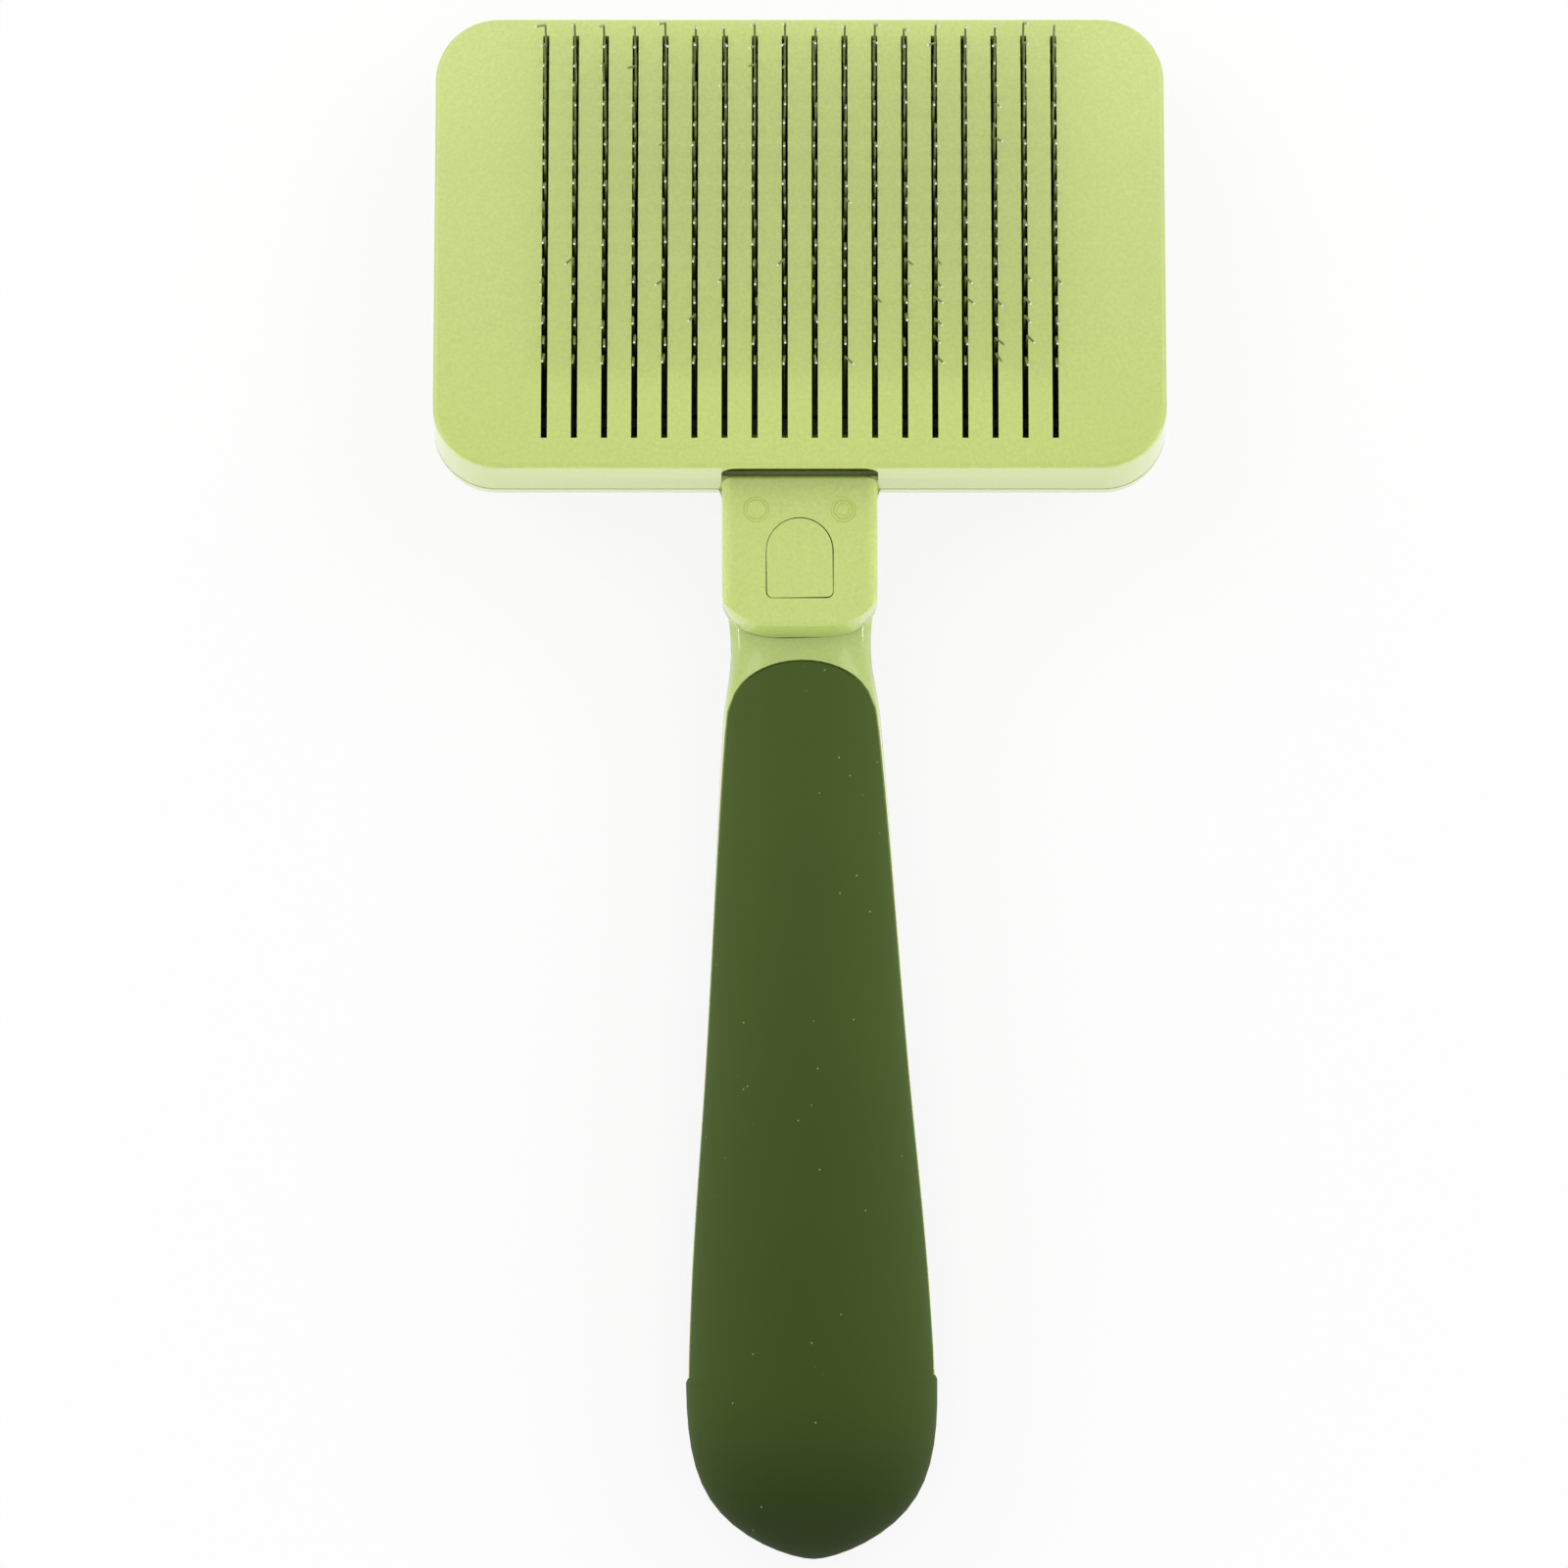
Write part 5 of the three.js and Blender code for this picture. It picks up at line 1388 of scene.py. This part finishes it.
def any_ray(tree, *kinds):
    """1 for a ray of any of some kinds, and 0 for others."""
    path = add(tree, "LightPath").outputs
    seen = path[kinds[0]]
    for kind in kinds[1:]:
        seen = add(tree, "Math", {"operation": "ADD", "use_clamp": True},
                   {0: seen, 1: path[kind]}).outputs[0]
    return seen


def white_paper(tree, _place):
    """Matt white paper: the camera sees it as plain white with a hint of the shadows, and gloss
    sees it white."""
    paper = add(tree, "BsdfDiffuse", {"Color": (FLOOR_PAPER, FLOOR_PAPER, FLOOR_PAPER, 1)})
    white = add(tree, "Emission", {"Color": (1, 1, 1, 1), "Strength": 1})
    shadow = add(tree, "BsdfDiffuse", {"Color": (1, 1, 1, 1)})
    shown = add(tree, "MixShader", {0: FLOOR_SHADE}, {1: white.outputs[0], 2: shadow.outputs[0]})
    shader = add(tree, "MixShader", {}, {0: any_ray(tree, "Is Camera Ray"), 1: paper.outputs[0],
                                         2: shown.outputs[0]})
    mirrored = any_ray(tree, "Is Glossy Ray", "Is Transmission Ray")
    return add(tree, "MixShader", {}, {0: mirrored, 1: shader.outputs[0], 2: white.outputs[0]})


class BRUSH_OT_stage(bpy.types.Operator):
    """Adds the pale floor, the studio light and the camera straight above."""
    bl_idname = "brush.stage"
    bl_label = "Stage"

    def execute(self, context):
        self.floor(context.scene)
        self.sky(context.scene)
        self.lamps(context.scene)
        self.camera(context.scene)
        return {"FINISHED"}

    def floor(self, scene):
        shape = bmesh.new()
        bmesh.ops.create_grid(shape, x_segments=1, y_segments=1, size=FLOOR_HALF)
        mesh = bpy.data.meshes.new("floor")
        shape.to_mesh(mesh)
        shape.free()
        floor = bpy.data.objects.new("floor", mesh)
        scene.collection.objects.link(floor)
        mesh.materials.append(made_of("white_paper", white_paper))

    def sky(self, scene):
        scene.world = bpy.data.worlds.new("studio")
        scene.world.use_nodes = True
        tree = scene.world.node_tree
        tree.nodes.clear()
        seen = any_ray(tree, "Is Camera Ray", "Is Glossy Ray", "Is Transmission Ray")
        strength = add(tree, "MapRange", {"To Min": SKY_LIGHT, "To Max": 1}, {0: seen})
        sky = add(tree, "Background", {"Color": (1, 1, 1, 1)}, {"Strength": strength.outputs[0]})
        add(tree, "OutputWorld", {}, {"Surface": sky.outputs[0]})

    def lamps(self, scene):
        for kind, ((x, y, z), size, power) in LAMPS.items():
            for side, place in (("left_", (-x, y, z)), ("right_", (x, y, z))):
                data = bpy.data.lights.new(side + kind, "AREA")
                data.shape, data.energy = "RECTANGLE", power
                data.size, data.size_y = size
                lamp = bpy.data.objects.new(side + kind, data)
                lamp.location = place
                aim = LAMP_AIM - Vector(place)
                lamp.rotation_euler = aim.to_track_quat("-Z", "Y").to_euler()
                scene.collection.objects.link(lamp)

    def camera(self, scene):
        scene.view_settings.view_transform = "Standard"
        data = bpy.data.cameras.new("camera")
        data.sensor_width, data.lens = SENSOR, SENSOR * CAMERA_HEIGHT / CAMERA_VIEW
        data.clip_start, data.clip_end = 0.05, 20
        camera = bpy.data.objects.new("camera", data)
        x, y, z = CAMERA_AT
        camera.location = (x, y, z + CAMERA_HEIGHT)
        scene.collection.objects.link(camera)
        scene.camera = camera


# ---------------------------------------------------------------- panel and registration

PIECES = ("front_shell", "back_shell", "pins", "springs", "thumb_button", "screws",
          "handle_core", "grip", "carrier", "stage")
GROUPS = {
    "brush_head": BRUSH_PG_head,
    "brush_pins": BRUSH_PG_pins,
    "brush_handle": BRUSH_PG_handle,
    "brush_finish": BRUSH_PG_finish,
}


class BRUSH_PT_sidebar(bpy.types.Panel):
    """Lists the brush's sizes and colours, and a button for each group of pieces."""
    bl_idname = "BRUSH_PT_sidebar"
    bl_label = "Slicker brush"
    bl_space_type = "VIEW_3D"
    bl_region_type = "UI"
    bl_category = "Brush"

    def draw(self, context):
        for name in GROUPS:
            box = self.layout.box()
            group = getattr(context.scene, name)
            for key in group.__annotations__:
                box.prop(group, key)
        for name in PIECES:
            self.layout.operator("brush." + name)


CLASSES = (*GROUPS.values(), BRUSH_OT_front_shell, BRUSH_OT_back_shell, BRUSH_OT_pins,
           BRUSH_OT_springs, BRUSH_OT_thumb_button, BRUSH_OT_screws, BRUSH_OT_handle_core,
           BRUSH_OT_grip, BRUSH_OT_carrier, BRUSH_OT_stage, BRUSH_PT_sidebar)


def register():
    for cls in CLASSES:
        bpy.utils.register_class(cls)
    for name, group in GROUPS.items():
        setattr(bpy.types.Scene, name, PointerProperty(type=group))


def unregister():
    for name in GROUPS:
        delattr(bpy.types.Scene, name)
    for cls in reversed(CLASSES):
        bpy.utils.unregister_class(cls)


def main():
    register()
    for name in PIECES:
        getattr(bpy.ops.brush, name)()


if __name__ == "__main__":
    main()
